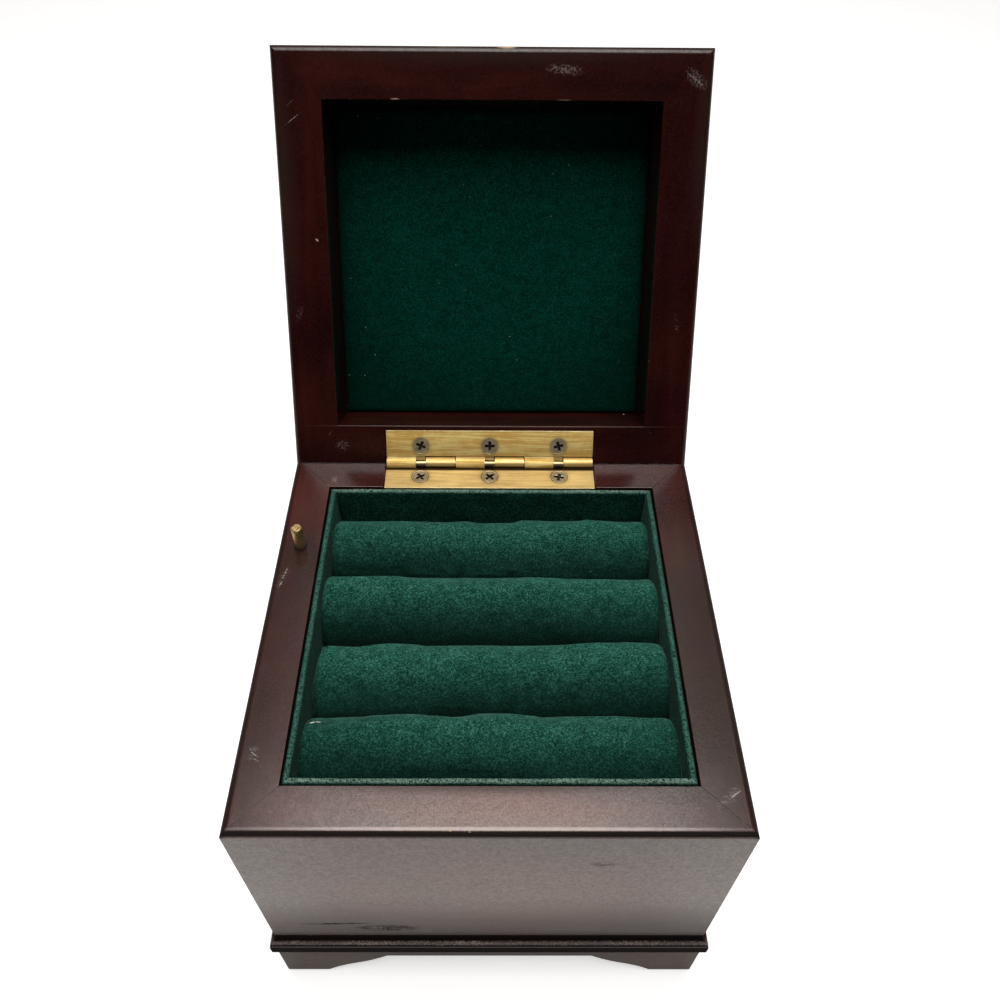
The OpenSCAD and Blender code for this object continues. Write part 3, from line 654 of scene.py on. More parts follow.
@dataclass(frozen=True)
class Brushed:
    """Metal brushed along X, with tarnish in patches."""

    name: str
    bright: Colour = (0.8, 0.61, 0.27)
    dull: Colour = (0.33, 0.22, 0.072)
    stain: Colour = (0.12, 0.075, 0.03)
    roughness: float = 0.48
    brush: float = 1.0
    pits: float = 0.0
    tarnish: float = 0.8
    on_lid: bool = False
    # Painted shade: the heights in mm where it starts and where it is full, darkening screw slots
    # and the plunger's foot
    grime: tuple[float, float] | None = None
    shade_tone: Colour = (0.01, 0.007, 0.005)
    clouds: float = 0.4
    metal: float = 1.0
    line_pitch: Point = (90.0, 2300.0, 2300.0)
    band_pitch: Point = (45.0, 620.0, 620.0)
    # Marks in their own tones; on the hinge they are all painted shade
    shade_marks: tuple[Mark, ...] = ()

    def make(self) -> bpy.types.Material:
        """Makes the material.

        Returns:
            The metal, its brush lines, its tarnish, its pits and its painted shade.
        """
        graph = Graph(bpy.data.materials.new(self.name))
        at = graph.closed_lid() if self.on_lid else graph.place()
        parts = graph.parts(at)
        lines = graph.streaks(parts, self.line_pitch, 3.0, 0.7)
        bands = graph.streaks(parts, self.band_pitch)
        clouds = graph.noise(at, 210.0, 3.0, 0.6, 0.4)
        shares = (lines * 0.35 + bands * 0.35 - 0.35) * self.brush + (clouds - 0.5) * self.clouds
        dull = graph.between(shares, -0.15, 0.13) * self.tarnish
        colour = graph.tint(dull, self.bright, self.dull)
        tone_patches = graph.between(graph.noise(at, 620.0, 3.0, 0.7) + clouds * 0.5, 0.94, 1.08)
        colour = graph.tint(tone_patches * self.tarnish, colour, self.stain)
        height = lines * 0.6 * self.brush + clouds * 0.1
        if self.pits:
            pitted = graph.between(graph.noise(at, 1500.0, 2.0, 0.6), 0.52, 0.66)
            colour = graph.tint(pitted * self.pits, colour, self.stain)
            height = height - pitted * self.pits * 4
        rough = self.roughness + (lines - 0.5) * 0.16 + dull * 0.14 + tone_patches * 0.2
        # Tints from the marks: painted shade on the hinge
        colour = graph.tone_patches(colour, at, self.shade_marks)
        metallic = self.metal
        # Painted shade between the two heights: darker, rougher and less metallic
        if self.grime:
            unshaded, full = self.grime
            low, high = min(unshaded, full), max(unshaded, full)
            ends = (0.0, 1.0) if unshaded < full else (1.0, 0.0)
            shaded = graph.between(parts[2], low * MM, high * MM, *ends)
            colour = graph.tint(shaded, colour, self.shade_tone)
            rough = rough + shaded * 0.3
            metallic = (1 - shaded) * self.metal
        return graph.finish({
            "Base Color": colour, "Metallic": metallic, "Roughness": rough,
            "Normal": graph.bump(height, 0.03, 0.7)})


@dataclass(frozen=True)
class Grained:
    """A plain material with one speckled tone over another: cast metal, foam or bare board."""

    name: str
    first: Colour
    second: Colour
    scale: float
    stretch: Point = (1.0, 1.0, 1.0)
    roughness: float = 0.6
    metallic: float = 0.0
    relief: float = 0.05

    def make(self) -> bpy.types.Material:
        """Makes the material.

        Returns:
            The speckled material.
        """
        graph = Graph(bpy.data.materials.new(self.name))
        parts = graph.parts(graph.place())
        at = graph.joined(*(part * by for part, by in zip(parts, self.stretch)))
        coarse = graph.noise(at, self.scale, 3.0, 0.6)
        fine = graph.noise(at, self.scale * 6, 2.0, 0.6)
        colour = graph.tint(graph.between(coarse * 0.6 + fine * 0.4, 0.32, 0.68),
                            self.first, self.second)
        return graph.finish({
            "Base Color": colour, "Metallic": self.metallic,
            "Roughness": self.roughness + (fine - 0.5) * 0.2,
            "Normal": graph.bump(fine * 0.6 + coarse * 0.4, self.relief, 0.8)})


class Easing(Enum):
    """How far a solid's sharp edges are softened, in mm, and in how many steps."""

    BOARD = (0.12, 2)
    METAL = (0.1, 2)
    LEAF = (0.16, 2)
    HEAD = (0.28, 2)
    SMALL = (0.05, 1)
    SHEET = (0.2, 2)
    NONE = (0.0, 0)


def ease(node: str, easing: Easing, finish: bpy.types.Material,
         edge_finish: bpy.types.Material | None = None) -> None:
    """Softens a solid's edges with modifiers and gives it its finish.

    Args:
        node: the solid's name.
        easing: how far its edges are softened.
        finish: the material of its faces.
        edge_finish: the material of its softened edges, if it is another one.
    """
    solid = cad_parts[node]
    solid.data.materials.clear()
    solid.data.materials.append(finish)
    if edge_finish is not None:
        solid.data.materials.append(edge_finish)
    solid.modifiers.new("weld", "WELD").merge_threshold = WELD_GAP * MM
    flat = solid.modifiers.new("flat", "DECIMATE")
    flat.decimate_type = "DISSOLVE"
    flat.angle_limit = FLAT_ANGLE
    width, steps = easing.value
    if steps:
        bevel = solid.modifiers.new("arris", "BEVEL")
        bevel.width = width * MM
        bevel.segments = steps
        bevel.limit_method = "ANGLE"
        bevel.angle_limit = SHARP_ANGLE
        bevel.use_clamp_overlap = True
        if edge_finish is not None:
            bevel.material = 1
    normals = solid.modifiers.new("normals", "WEIGHTED_NORMAL")
    normals.keep_sharp = True


def new_piece(name: str, points: Sequence[Sequence[float]], faces: Sequence[Sequence[int]],
              finish: bpy.types.Material) -> bpy.types.Object:
    """Makes a smooth mesh object.

    Args:
        name: its name.
        points: its vertices, in mm.
        faces: its faces, as vertex numbers.
        finish: its material.

    Returns:
        The object.
    """
    mesh = bpy.data.meshes.new(name)
    mesh.from_pydata([Vector(p) * MM for p in points], [], faces)
    work = bmesh.new()
    work.from_mesh(mesh)
    bmesh.ops.remove_doubles(work, verts=work.verts, dist=0.001 * MM)
    bmesh.ops.recalc_face_normals(work, faces=work.faces)
    for face in work.faces:
        face.smooth = True
    work.to_mesh(mesh)
    work.free()
    mesh.materials.append(finish)
    piece = bpy.data.objects.new(name, mesh)
    bpy.context.scene.collection.objects.link(piece)
    return piece


def swept(rows: Sequence[Sequence[Sequence[float]]]) -> tuple[list[Any], list[Any]]:
    """Skins a row of closed loops and caps its two ends.

    Args:
        rows: the loops, each with the same number of points.

    Returns:
        Points and faces.
    """
    around = len(rows[0])
    points = [p for row in rows for p in row]
    faces = []
    for i in range(len(rows) - 1):
        for j in range(around):
            k = (j + 1) % around
            faces.append((i * around + j, i * around + k, (i + 1) * around + k,
                          (i + 1) * around + j))
    faces.append(tuple(range(around)))
    faces.append(tuple((len(rows) - 1) * around + j for j in range(around)))
    return points, faces


def ramp_up(value: float, low: float, high: float) -> float:
    """Steps smoothly from 0 at low to 1 at high."""
    share = min(max((value - low) / (high - low), 0.0), 1.0)
    return share * share * (3 - 2 * share)


def wander(x: float, y: float, z: float, size: float) -> float:
    """Smooth noise from about -1 to 1 whose swells are about that many mm across."""
    return noise.noise(Vector((x, y, z)) / size)


def puff(piece: bpy.types.Object, pressure: float, cap: float, pinned_below: float) -> None:
    """Lets a closed cover swell over its filling as cloth, and keeps its small folds.

    Args:
        piece: the cover.
        pressure: the pressure inside it.
        cap: how far a point may move, in mm.
        pinned_below: the height in mm under which the cover stays where it is glued.
    """
    remesh = piece.modifiers.new("even", "REMESH")
    remesh.mode, remesh.voxel_size = "VOXEL", VOXEL * MM
    finish = piece.data.materials[0]
    even = bpy.data.meshes.new_from_object(
        piece.evaluated_get(bpy.context.evaluated_depsgraph_get()))
    piece.modifiers.clear()
    piece.data = even
    even.materials.clear()
    even.materials.append(finish)
    glued = piece.vertex_groups.new(name="glued")
    glued.add([v.index for v in even.vertices if v.co.z < pinned_below * MM], 1.0, "REPLACE")
    cloth = piece.modifiers.new("cloth", "CLOTH")
    rules = cloth.settings
    rules.quality, rules.mass = 6, 0.15
    rules.tension_stiffness = rules.compression_stiffness = 12.0
    rules.bending_stiffness, rules.air_damping = 0.4, 2.0
    rules.shrink_min = -LOOSE
    rules.use_pressure, rules.uniform_pressure_force = True, pressure
    rules.vertex_group_mass = "glued"
    rules.effector_weights.gravity = 0.0
    scene = bpy.context.scene
    for step in range(1, CLOTH_STEPS + 1):
        scene.frame_set(step)
    puffed = piece.evaluated_get(bpy.context.evaluated_depsgraph_get()).data
    moved = [point.co - rest.co for point, rest in zip(puffed.vertices, even.vertices)]
    piece.modifiers.clear()
    scene.frame_set(1)
    for vertex, way in zip(even.vertices, moved):
        length = max(way.length, 1e-9)
        vertex.co += way * (math.tanh(length / (cap * MM)) * cap * MM / length)
    for face in even.polygons:
        face.use_smooth = True
    finer = piece.modifiers.new("finer", "SUBSURF")
    finer.levels = finer.render_levels = 1


def dress(piece: bpy.types.Object, body: str, slot: str, *nodes: str) -> bpy.types.Object:
    """Makes a new piece ride on a body and stand for its solids.

    Args:
        piece: the piece.
        body: the body that it rides on.
        slot: the material slot of its finish; not used.
        nodes: the solids that it stands for.

    Returns:
        The piece.
    """
    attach(piece, body)
    if nodes:
        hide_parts(*nodes)
    LOG.info("%s rides on %s", piece.name, body)
    return piece


@dataclass
class Case:
    """The four boards, the plinth and what is under them."""

    sides: tuple[str, ...] = ("front", "right", "back", "left")
    marks: tuple[Mark, ...] = (
        dent((-46, -65, 46.6), (12.5, 2, 0.9), core=0.4, tilt=-3),
        dent((-31, -65, 42.6), (11, 2, 3.4), core=0.4),
        scuff((-30, -65, 42.2), (9.5, 2, 3.2), core=0.6),
        dent((29.6, -65, 95), (4.6, 2, 2.4), share=0.7),
        chip((29.4, -65, 71.6), (0.45, 1, 0.45)),
        scuff((-63, 13.8, RIM_Z), (2.2, 7, 3), -12, 0.6),
        scuff((-61.9, -43.4, RIM_Z), (2.4, 4, 3), -20, 0.7),
        scratch((-61.5, -43.6, RIM_Z), (2.4, 0.22, 1.5), -37, 0.8),
        scratch((-60.7, -45.2, RIM_Z), (1.7, 0.2, 1.5), -30, 0.7),
        scratch((-62.6, -42.2, RIM_Z), (1.2, 0.2, 1.5), -50, 0.6),
        scuff((-52.3, 55.2, RIM_Z), (2, 3.6, 3), share=0.9),
        scuff((60.5, -55, RIM_Z), (7.5, 2.4, 3), 38, 0.8),
        scratch((61.9, -54.5, RIM_Z), (2.9, 0.28, 2), 35),
        chip((-9.8, -63.6, 113.3), (0.9, 0.4, 0.5), share=0.8),
        chip((-5, -63.9, 113.2), (0.5, 0.3, 0.4), share=0.7),
        scratch((-62.9, 15.1, RIM_Z), (0.35, 2.2, 1.5), -14),
        scratch((-63.5, 11.6, RIM_Z), (0.32, 1.7, 1.5), -22, 0.9),
        scratch((-62.4, 17.2, RIM_Z), (0.28, 1.2, 1.5), -8, 0.7),
        # Painted light: the lit middle of the front rail
        faded((2, -60.5, 113.7), (50, 11, 1.6), share=0.55),
        bloom((8, -58.5, RIM_Z), (44, 7, 1.6), share=0.22, tone=(0.17, 0.02, 0.02)),
        # Painted light: the front face, brightest in its middle
        faded((0, -65, 73), (75, 4, 42), share=1),
        # Painted highlight along the front edge's roundover, from a pale tone and a scuff line
        bloom((0, -63.3, RIM_Z), (80, 0.75, 0.8), share=0.8, core=0.3, tone=(0.33, 0.25, 0.235)),
        scuff((0, -63.5, RIM_Z), (66, 0.9, 0.8), share=0.5, core=0.4),
        # Painted shade: the front roundover's dark band, a ring round the plunger's foot, the
        # boards darkening towards the plinth, and along the front rail's inner edge
        grime((0, -65.3, 113.1), (ACROSS, 1.75, 0.9), core=0.8),
        grime((-59.5, 26.4, RIM_Z), (2.6, 2.6, 2), core=0.7),
        *(grime((0, 0, 34), (ACROSS, ACROSS, rise), share=share)
          for rise, share in ((4.2, 1), (15, 0.5), (40, 0.45))),
        grime((0, -51.9, RIM_Z), (56, 3.6, 3), share=0.45),
        bloom((-60.5, -16, RIM_Z), (12, 66, 3), share=0.34, core=0.5),
        bloom((60.5, -16, RIM_Z), (12, 66, 3), share=0.56, core=0.5),
        # Painted shade along the side rails' outer roundovers
        *(grime((x, 0, 113.2), (2.8, ACROSS, 2.6), share=0.75, core=0.45) for x in (-67, 67)),
        chip((-35.8, 58.5, 113.4), (0.35, 5.5, 0.9), share=0.8),
        chip((34.8, 58.5, 113.4), (0.35, 5.5, 0.9), share=0.6),
    )
    plinth_marks: tuple[Mark, ...] = (
        # Painted highlights: two pale lines along the moulding's bead
        bloom((0, -67, 31.75), (ACROSS, 3, 0.45), share=0.7, core=0.3, tone=(0.16, 0.145, 0.14)),
        bloom((0, -67, 30.4), (ACROSS, 3, 0.25), share=0.5, core=0.3, tone=(0.13, 0.115, 0.11)),
        scuff((0, -67, 31.8), (ACROSS, 3, 1), share=0.7, core=0.3),
        scuff((-38, -67, 31.8), (20, 3, 0.9), share=0.95, core=0.3),
        scuff((-6, -67, 31.8), (26, 3, 0.9), share=0.95, core=0.3),
        scuff((46, -67, 31.8), (16, 3, 0.8), share=0.9, core=0.3),
        # Painted shade: the dark cove, a dark line on the bead, and the dark fascia
        grime((0, 0, 34.6), (ACROSS, ACROSS, 2.7), core=0.75),
        grime((0, -67, 31.1), (ACROSS, 3, 0.4), share=0.9, core=0.5),
        grime((0, 0, 27.7), (ACROSS, ACROSS, 2.6), core=0.8),
    )
    apron_marks: tuple[Mark, ...] = (
        *(faded((x, -66, 12), (26, 3, 16), share=0.35) for x in (-54, 54)),
    )

    def build(self) -> None:
        """Finishes the boards, the plinth and the parts under them."""
        face = Lacquered("case_lacquer", marks=self.marks).make()
        edge = Lacquered("case_edge_lacquer", arris=True, marks=self.marks).make()
        for side in self.sides:
            ease(f"{side}_board", Easing.BOARD, face, edge)
        for kind, coat, marks in (("moulding", 0.22, self.plinth_marks),
                                  ("apron", 0.085, self.apron_marks)):
            tones = dict(dark=(0.009, 0.0035, 0.003), mid=(0.019, 0.007, 0.0056),
                         light=(0.034, 0.0135, 0.0105), shine=0.025, coat=coat, marks=marks,
                         rub=(1400.0, 1800.0, 1800.0), film=0.02, scuff_share=0.95)
            low = Lacquered(f"{kind}_lacquer", **tones).make()
            edge = Lacquered(f"{kind}_edge_lacquer", arris=True, **tones).make()
            for side in self.sides:
                ease(f"{kind}_{side}", Easing.BOARD, low, edge)
        ply = Grained("bare_plywood", (0.46, 0.3, 0.16), (0.62, 0.44, 0.26), 90.0,
                      (1.0, 9.0, 9.0), 0.75).make()
        ease("bottom_panel", Easing.SMALL, ply)
        block = Grained("bare_softwood", (0.5, 0.33, 0.17), (0.66, 0.48, 0.29), 70.0,
                        (9.0, 9.0, 1.0), 0.8).make()
        for node in ("corner_blocks", "tray_rests"):
            ease(node, Easing.SHEET, block)
        LOG.info("case, plinth and bottom are finished")


@dataclass
class Lid:
    """The framed lid with its felt lining."""

    frame_nodes: tuple[str, ...] = ("lid_front", "lid_right", "lid_back", "lid_left")
    lining_half: tuple[float, float] = (51.5, 50.0)
    lining_low: float = 135.3
    lining_high: float = 136.8
    lining_edge: float = 0.7
    edge_width: float = 2.2
    lining_crown: float = 0.22
    crown_width: float = 26.0
    wave: float = 0.1
    wave_size: float = 17.0
    wave_from: float = 6.0
    lining_lift: float = 0.15
    cells: tuple[int, int] = (104, 100)
    # Middle and reach, in mm, of the felt's lit middle; outside it the felt is painted darker,
    # painted shade from the recess walls
    light_pool_y: float = -8.0
    light_pool_reach: float = 70.0
    marks: tuple[Mark, ...] = (
        scuff((21.6, -58.6, LID_Z), (8, 2.2, 2), 4, core=0.35),
        scuff((61, -56.4, LID_Z), (5.6, 2.8, 2), 38, core=0.35),
        scratch((61.6, -55.9, LID_Z), (3.6, 0.26, 1.5), 40, 0.5),
        scratch((60.2, -56.6, LID_Z), (3, 0.22, 1.5), 34, 0.4),
        scratch((62.6, -54.7, LID_Z), (2.4, 0.25, 1.5), 43, 0.6),
        scratch((-60.6, -44.6, LID_Z), (3.8, 0.22, 1.5), -36, 0.55),
        scratch((-61.2, -49, LID_Z), (1.8, 0.2, 1.5), -42, 0.25),
        bloom((0, -65.5, LID_Z), (80, 8, 3), share=0.32, core=0.2),
        bloom((-66.5, -25, LID_Z), (8, 55, 3), share=0.3, core=0.2),
        bloom((66.5, -35, LID_Z), (7, 40, 3), share=0.25, core=0.2),
        # Painted shade in a band along the lid's front edge
        grime((0, -65.4, 115), (ACROSS, 1.8, 1.9), share=0.4, core=0.5),
        faded((-38, 57, LID_Z), (22, 7, 3), share=0.14),
        chip((-55.2, -9.5, LID_Z), (0.8, 0.45, 1), 40),
        scuff((-62, 13.1, LID_Z), (1.8, 4.4, 2), 20, 0.7),
        scuff((-50.3, 56.9, LID_Z), (3.6, 3.2, 2), share=1),
        scuff((60, 16, LID_Z), (1.4, 4.6, 2), -10, 0.6),
        chip((-29.4, -50.2, 114.4), (1.9, 0.5, 0.6)),
        chip((21.7, -50.2, 114.4), (3.2, 0.3, 0.4), share=0.6),
        chip((51.5, 28.1, 114.4), (0.35, 0.7, 0.6)),
        chip((4.2, -64.7, 114.6), (4.4, 0.7, 1.6)),
        chip((-14, -64.8, 114.8), (6, 0.5, 0.8), share=0.5),
        # Painted highlight along the recess's inner edge on the hinge side
        bloom((0, 50.25, 114.35), (70, 0.4, 0.5), share=0.5, core=0.4, tone=(0.2, 0.15, 0.14)),
        chip((47.4, 50.2, 134.6), (0.7, 0.6, 0.9)),
        # Painted shade on the recess's side walls
        *(grime((x, 0, 126.6), (1.2, 60, 11.5), share=0.8, core=0.6) for x in (-51.7, 51.7)),
    )

    def at_rest(self, x: float, y: float, z: float) -> Vector:
        """Turns a point of the shut lid, in mm, into its place on the open one."""
        pivot = Vector(LID_AXIS)
        return pivot + Matrix.Rotation(-LID_ANGLE, 3, "X") @ (Vector((x, y, z)) - pivot)

    def _lining(self, finish: bpy.types.Material) -> bpy.types.Object:
        """Makes the felt-covered card as a slightly crowned slab with soft edges.

        Args:
            finish: its material.

        Returns:
            The lining.
        """
        half_w, half_d = self.lining_half
        across, along = self.cells
        rows = []
        for i in range(across + 1):
            x = half_w * (2 * i / across - 1)
            felt, card = [], []
            for j in range(along + 1):
                y = half_d * (2 * j / along - 1)
                inset = min(half_w - abs(x), half_d - abs(y))
                round_off = self.lining_edge * (1 - ramp_up(inset, 0.0, self.edge_width)) ** 2
                crown = self.lining_crown * ramp_up(inset, 0.0, self.crown_width)
                wave = (self.wave * wander(x, y, 3.0, self.wave_size)
                        * ramp_up(inset, 0.0, self.wave_from))
                low = self.lining_low + round_off - crown + wave + self.lining_lift
                felt.append(self.at_rest(x, y, low))
                card.append(self.at_rest(x, y, self.lining_high))
            rows.append(felt + card[::-1])
        return new_piece("lid_lining_felt", *swept(rows), finish)

    def build(self) -> None:
        """Finishes the lid's frame and panel, and makes its lining."""
        tones = dict(dark=(0.0085, 0.0007, 0.0005), mid=(0.02, 0.0021, 0.0015),
                     light=(0.035, 0.005, 0.0033), seam=0.0, shine=0.16, coat=0.3,
                     film=0.012, rub=(1500.0,) * 3, scuff_share=0.32)
        face = Lacquered("lid_lacquer", on_lid=True, marks=self.marks, **tones).make()
        edge = Lacquered("lid_edge_lacquer", on_lid=True, arris=True, marks=self.marks,
                         **tones).make()
        for node in self.frame_nodes:
            ease(node, Easing.SMALL, face, edge)
        panel = Lacquered("lid_panel_lacquer", Run.ALONG_X, True).make()
        ease("lid_panel", Easing.BOARD, panel)
        # The felt is painted darker away from its middle: painted shade
        middle = tuple(self.at_rest(0.0, self.light_pool_y, self.lining_low))
        felt = Suede("lid_felt", deep=(0.0002, 0.009, 0.0056), pile=(0.0005, 0.028, 0.019),
                     brushed=(0.0025, 0.06, 0.044), gloss=0.02, sheen=0.03, patch=300.0,
                     lint_share=0.5, patch_share=0.14,
                     light_pool=bloom(middle, (self.light_pool_reach,) * 3, share=0.6, core=0.45))
        dress(self._lining(felt.make()), "lid", "lid_felt", "lid_lining")
        LOG.info("lid is finished")


@dataclass
class Tray:
    """The loose tray with its suede-covered walls and padded ring rolls."""

    outer_half: tuple[float, float] = (53.1, 51.6)
    wall: float = 1.8
    low: float = 83.6
    high: float = 113.5
    step: float = 1.3
    soft_top: float = 8.0
    sway: float = 0.1
    sway_size: float = 13.0
    lift: float = 0.16
    lift_size: float = 9.0
    sunk: float = 0.12
    # Depth of the walls' paler top band: nap paled by wear, and a painted sheen highlight
    wear_and_lit_depth: float = 0.7
    roll_length: float = 102.4
    roll_radius: float = 12.4
    roll_flat: float = 12.2
    roll_z: float = 97.6
    roll_low: float = 85.4
    roll_y: tuple[float, ...] = (-37.55, -13.05, 11.45, 35.95)
    pitch: float = 24.5
    crest_step: float = 12.0
    crests: tuple[tuple[float, ...], ...] = (
        (-1.2, 0.3, 0.6, 0.6, 1.4, -0.2, -1.4, -2.0, -2.5),
        (-5.0, -3.3, -2.9, -1.9, -1.8, -1.9, -0.8, -0.6, -0.9),
        (0.75, 0.5, 0.35, 0.1, 0.15, 0.1, 0.05, -0.3, -0.9),
        (-1.4, -1.5, -1.55, -1.95, -2.5, -1.7, -1.1, -0.6, -0.9))
    end_round: float = 1.4
    swell: float = 0.18
    swell_size: float = 19.0
    ripple: float = 0.1
    ripple_size: float = 6.0
    slack: float = 0.25
    fold_cap: float = 0.45
    pressure: float = 4.0
    glued_depth: float = 4.0
    # A lit middle over the back rolls; outside it the rolls are painted darker, the front roll
    # most: painted shade
    light_pool: Mark = bloom((0, 22, 105), (95, 95, 95), share=0.6, core=0.45)
    around: int = 96
    along: int = 128
    thread: Colour = (0.8, 0.78, 0.74)
    threads: tuple[Mark, ...] = (
        bloom((-49.2, -30.4, 107.4), (1.1, 0.42, 3), 30, core=0.6, tone=thread),
        bloom((-47.7, -30.1, 107.6), (1.5, 0.4, 3), -10, core=0.6, tone=thread),
    )

    def _wall_section(self) -> list[tuple[float, float]]:
        """The outline of a wall: distance in from its outer face, and height.

        Returns:
            The points of the outline.
        """
        half = self.wall / 2
        side = [(0.0, self.low + (self.high - half - self.low) * i / 12) for i in range(12)]
        top = [(half - half * math.cos(math.pi * i / 12), self.high - half
                + half * math.sin(math.pi * i / 12)) for i in range(13)]
        back = [(self.wall, z) for _, z in reversed(side)]
        return side + top + back

    def _wall(self, name: str, turn: int, finish: bpy.types.Material) -> bpy.types.Object:
        """Makes one wall, mitred into its neighbours.

        Args:
            name: its name.
            turn: quarter turns from the front.
            finish: its material.

        Returns:
            The wall.
        """
        half, away = self.outer_half if turn % 2 == 0 else self.outer_half[::-1]
        section = self._wall_section()
        count = int(2 * half / self.step)
        rows = []
        for i in range(count + 1):
            share = 2 * i / count - 1
            row = []
            for inset, z in section:
                along = share * (half - inset)
                top = ramp_up(z, self.high - self.soft_top, self.high)
                sway = self.sway * top * wander(along, 9.0 * turn, z, self.sway_size)
                lift = (self.lift * top * wander(along, 5.0 + 9.0 * turn, 0.0, self.lift_size)
                        - self.sunk * top)
                point = Vector((along, -(away - inset - sway), z + lift))
                row.append(Matrix.Rotation(turn * math.pi / 2, 3, "Z") @ point)
            rows.append(row)
        return new_piece(name, *swept(rows), finish)

    def _crest(self, number: int, x: float) -> float:
        """How far a roll's crest lies above the plain roll.

        Args:
            number: which roll.
            x: the place along it, in mm.

        Returns:
            The height difference, in mm.
        """
        heights = self.crests[number]
        place = min(max(x / self.crest_step + (len(heights) - 1) / 2, 0.0), len(heights) - 1.001)
        knot = int(place)
        share = place - knot
        a, b, c, d = (heights[max(knot - 1, 0)], heights[knot], heights[knot + 1],
                      heights[min(knot + 2, len(heights) - 1)])
        return b + 0.5 * share * (c - a + share * (2 * a - 5 * b + 4 * c - d
                                                   + share * (3 * (b - c) + d - a)))

    def _roll(self, number: int, finish: bpy.types.Material) -> bpy.types.Object:
        """Makes one padded roll, counted from the front.

        Args:
            number: which roll.
            finish: its material.

        Returns:
            The roll.
        """
        y_mid = self.roll_y[number]
        half = self.roll_length / 2
        rows = []
        for i in range(self.along + 1):
            share = 2 * i / self.along - 1
            x = half * math.sin(share * math.pi / 2)
            from_end = half - abs(x)
            rounding = self.end_round * (1 - math.sqrt(
                max(0.0, 1 - (1 - min(from_end / self.end_round, 1.0)) ** 2)))
            crest = self._crest(number, x)
            row = []
            for j in range(self.around):
                angle = 2 * math.pi * j / self.around - math.pi / 2
                y, z = math.cos(angle), math.sin(angle)
                swell = self.swell * wander(x, 30.0 * number + 9 * y, 9 * z, self.swell_size)
                swell += self.ripple * wander(x, 50.0 * number + 6 * y, 6 * z, self.ripple_size)
                radius = self.roll_radius - rounding + swell - self.slack
                y, z = radius * y, radius * z
                upper = ramp_up(z, 0.0, radius)
                z += crest * upper
                limit = self.roll_flat - rounding
                y = min(max(y, -limit), limit)
                row.append((x, y_mid + y, max(self.roll_z + z, self.roll_low + rounding)))
            rows.append(row)
        return new_piece(f"ring_roll_{number + 1}", *swept(rows), finish)

    def build(self) -> None:
        """Makes the walls and the rolls, and finishes the tray's floor."""
        tones = dict(deep=(0.0008, 0.009, 0.0062), pile=(0.0048, 0.042, 0.031),
                     brushed=(0.028, 0.13, 0.1), sheen=0.05, patch_share=0.16,
                     wear_and_lit_from=self.high - self.wear_and_lit_depth)
        # The paler wall tops are nap paled by wear with a painted sheen; the side walls take a
        # dimmer copy, painted shade
        suede = Suede("tray_suede", paler=(0.195, 0.3, 0.252), **tones).make()
        plain = Suede("tray_side_suede", paler=(0.06, 0.15, 0.12), **tones).make()
        for turn, side in enumerate(("front", "right", "back", "left")):
            wall = self._wall(f"tray_wall_{side}", turn, plain if turn % 2 else suede)
            dress(wall, "base", "tray_suede", f"tray_{side}")
        # The rolls get painted shade across each row and outside a lit middle
        velvet = Suede("roll_suede", pile=(0.0125, 0.093, 0.068), gloss=0.05, sheen=0.19,
                       brushed=(0.082, 0.295, 0.227), patch=300.0, patch_share=0.15,
                       rows_from=self.roll_y[0] - self.pitch / 2, row_pitch=self.pitch,
                       light_pool=self.light_pool, threads=self.threads).make()
        for number in range(len(self.roll_y)):
            cover = self._roll(number, velvet)
            puff(cover, self.pressure, self.fold_cap, self.roll_z - self.glued_depth)
            roll = dress(cover, "base", "roll_suede",
                         f"roll_core_{number + 1}", f"roll_cover_{number + 1}")
        ease("tray_floor", Easing.SHEET, suede)
        LOG.info("tray is finished")


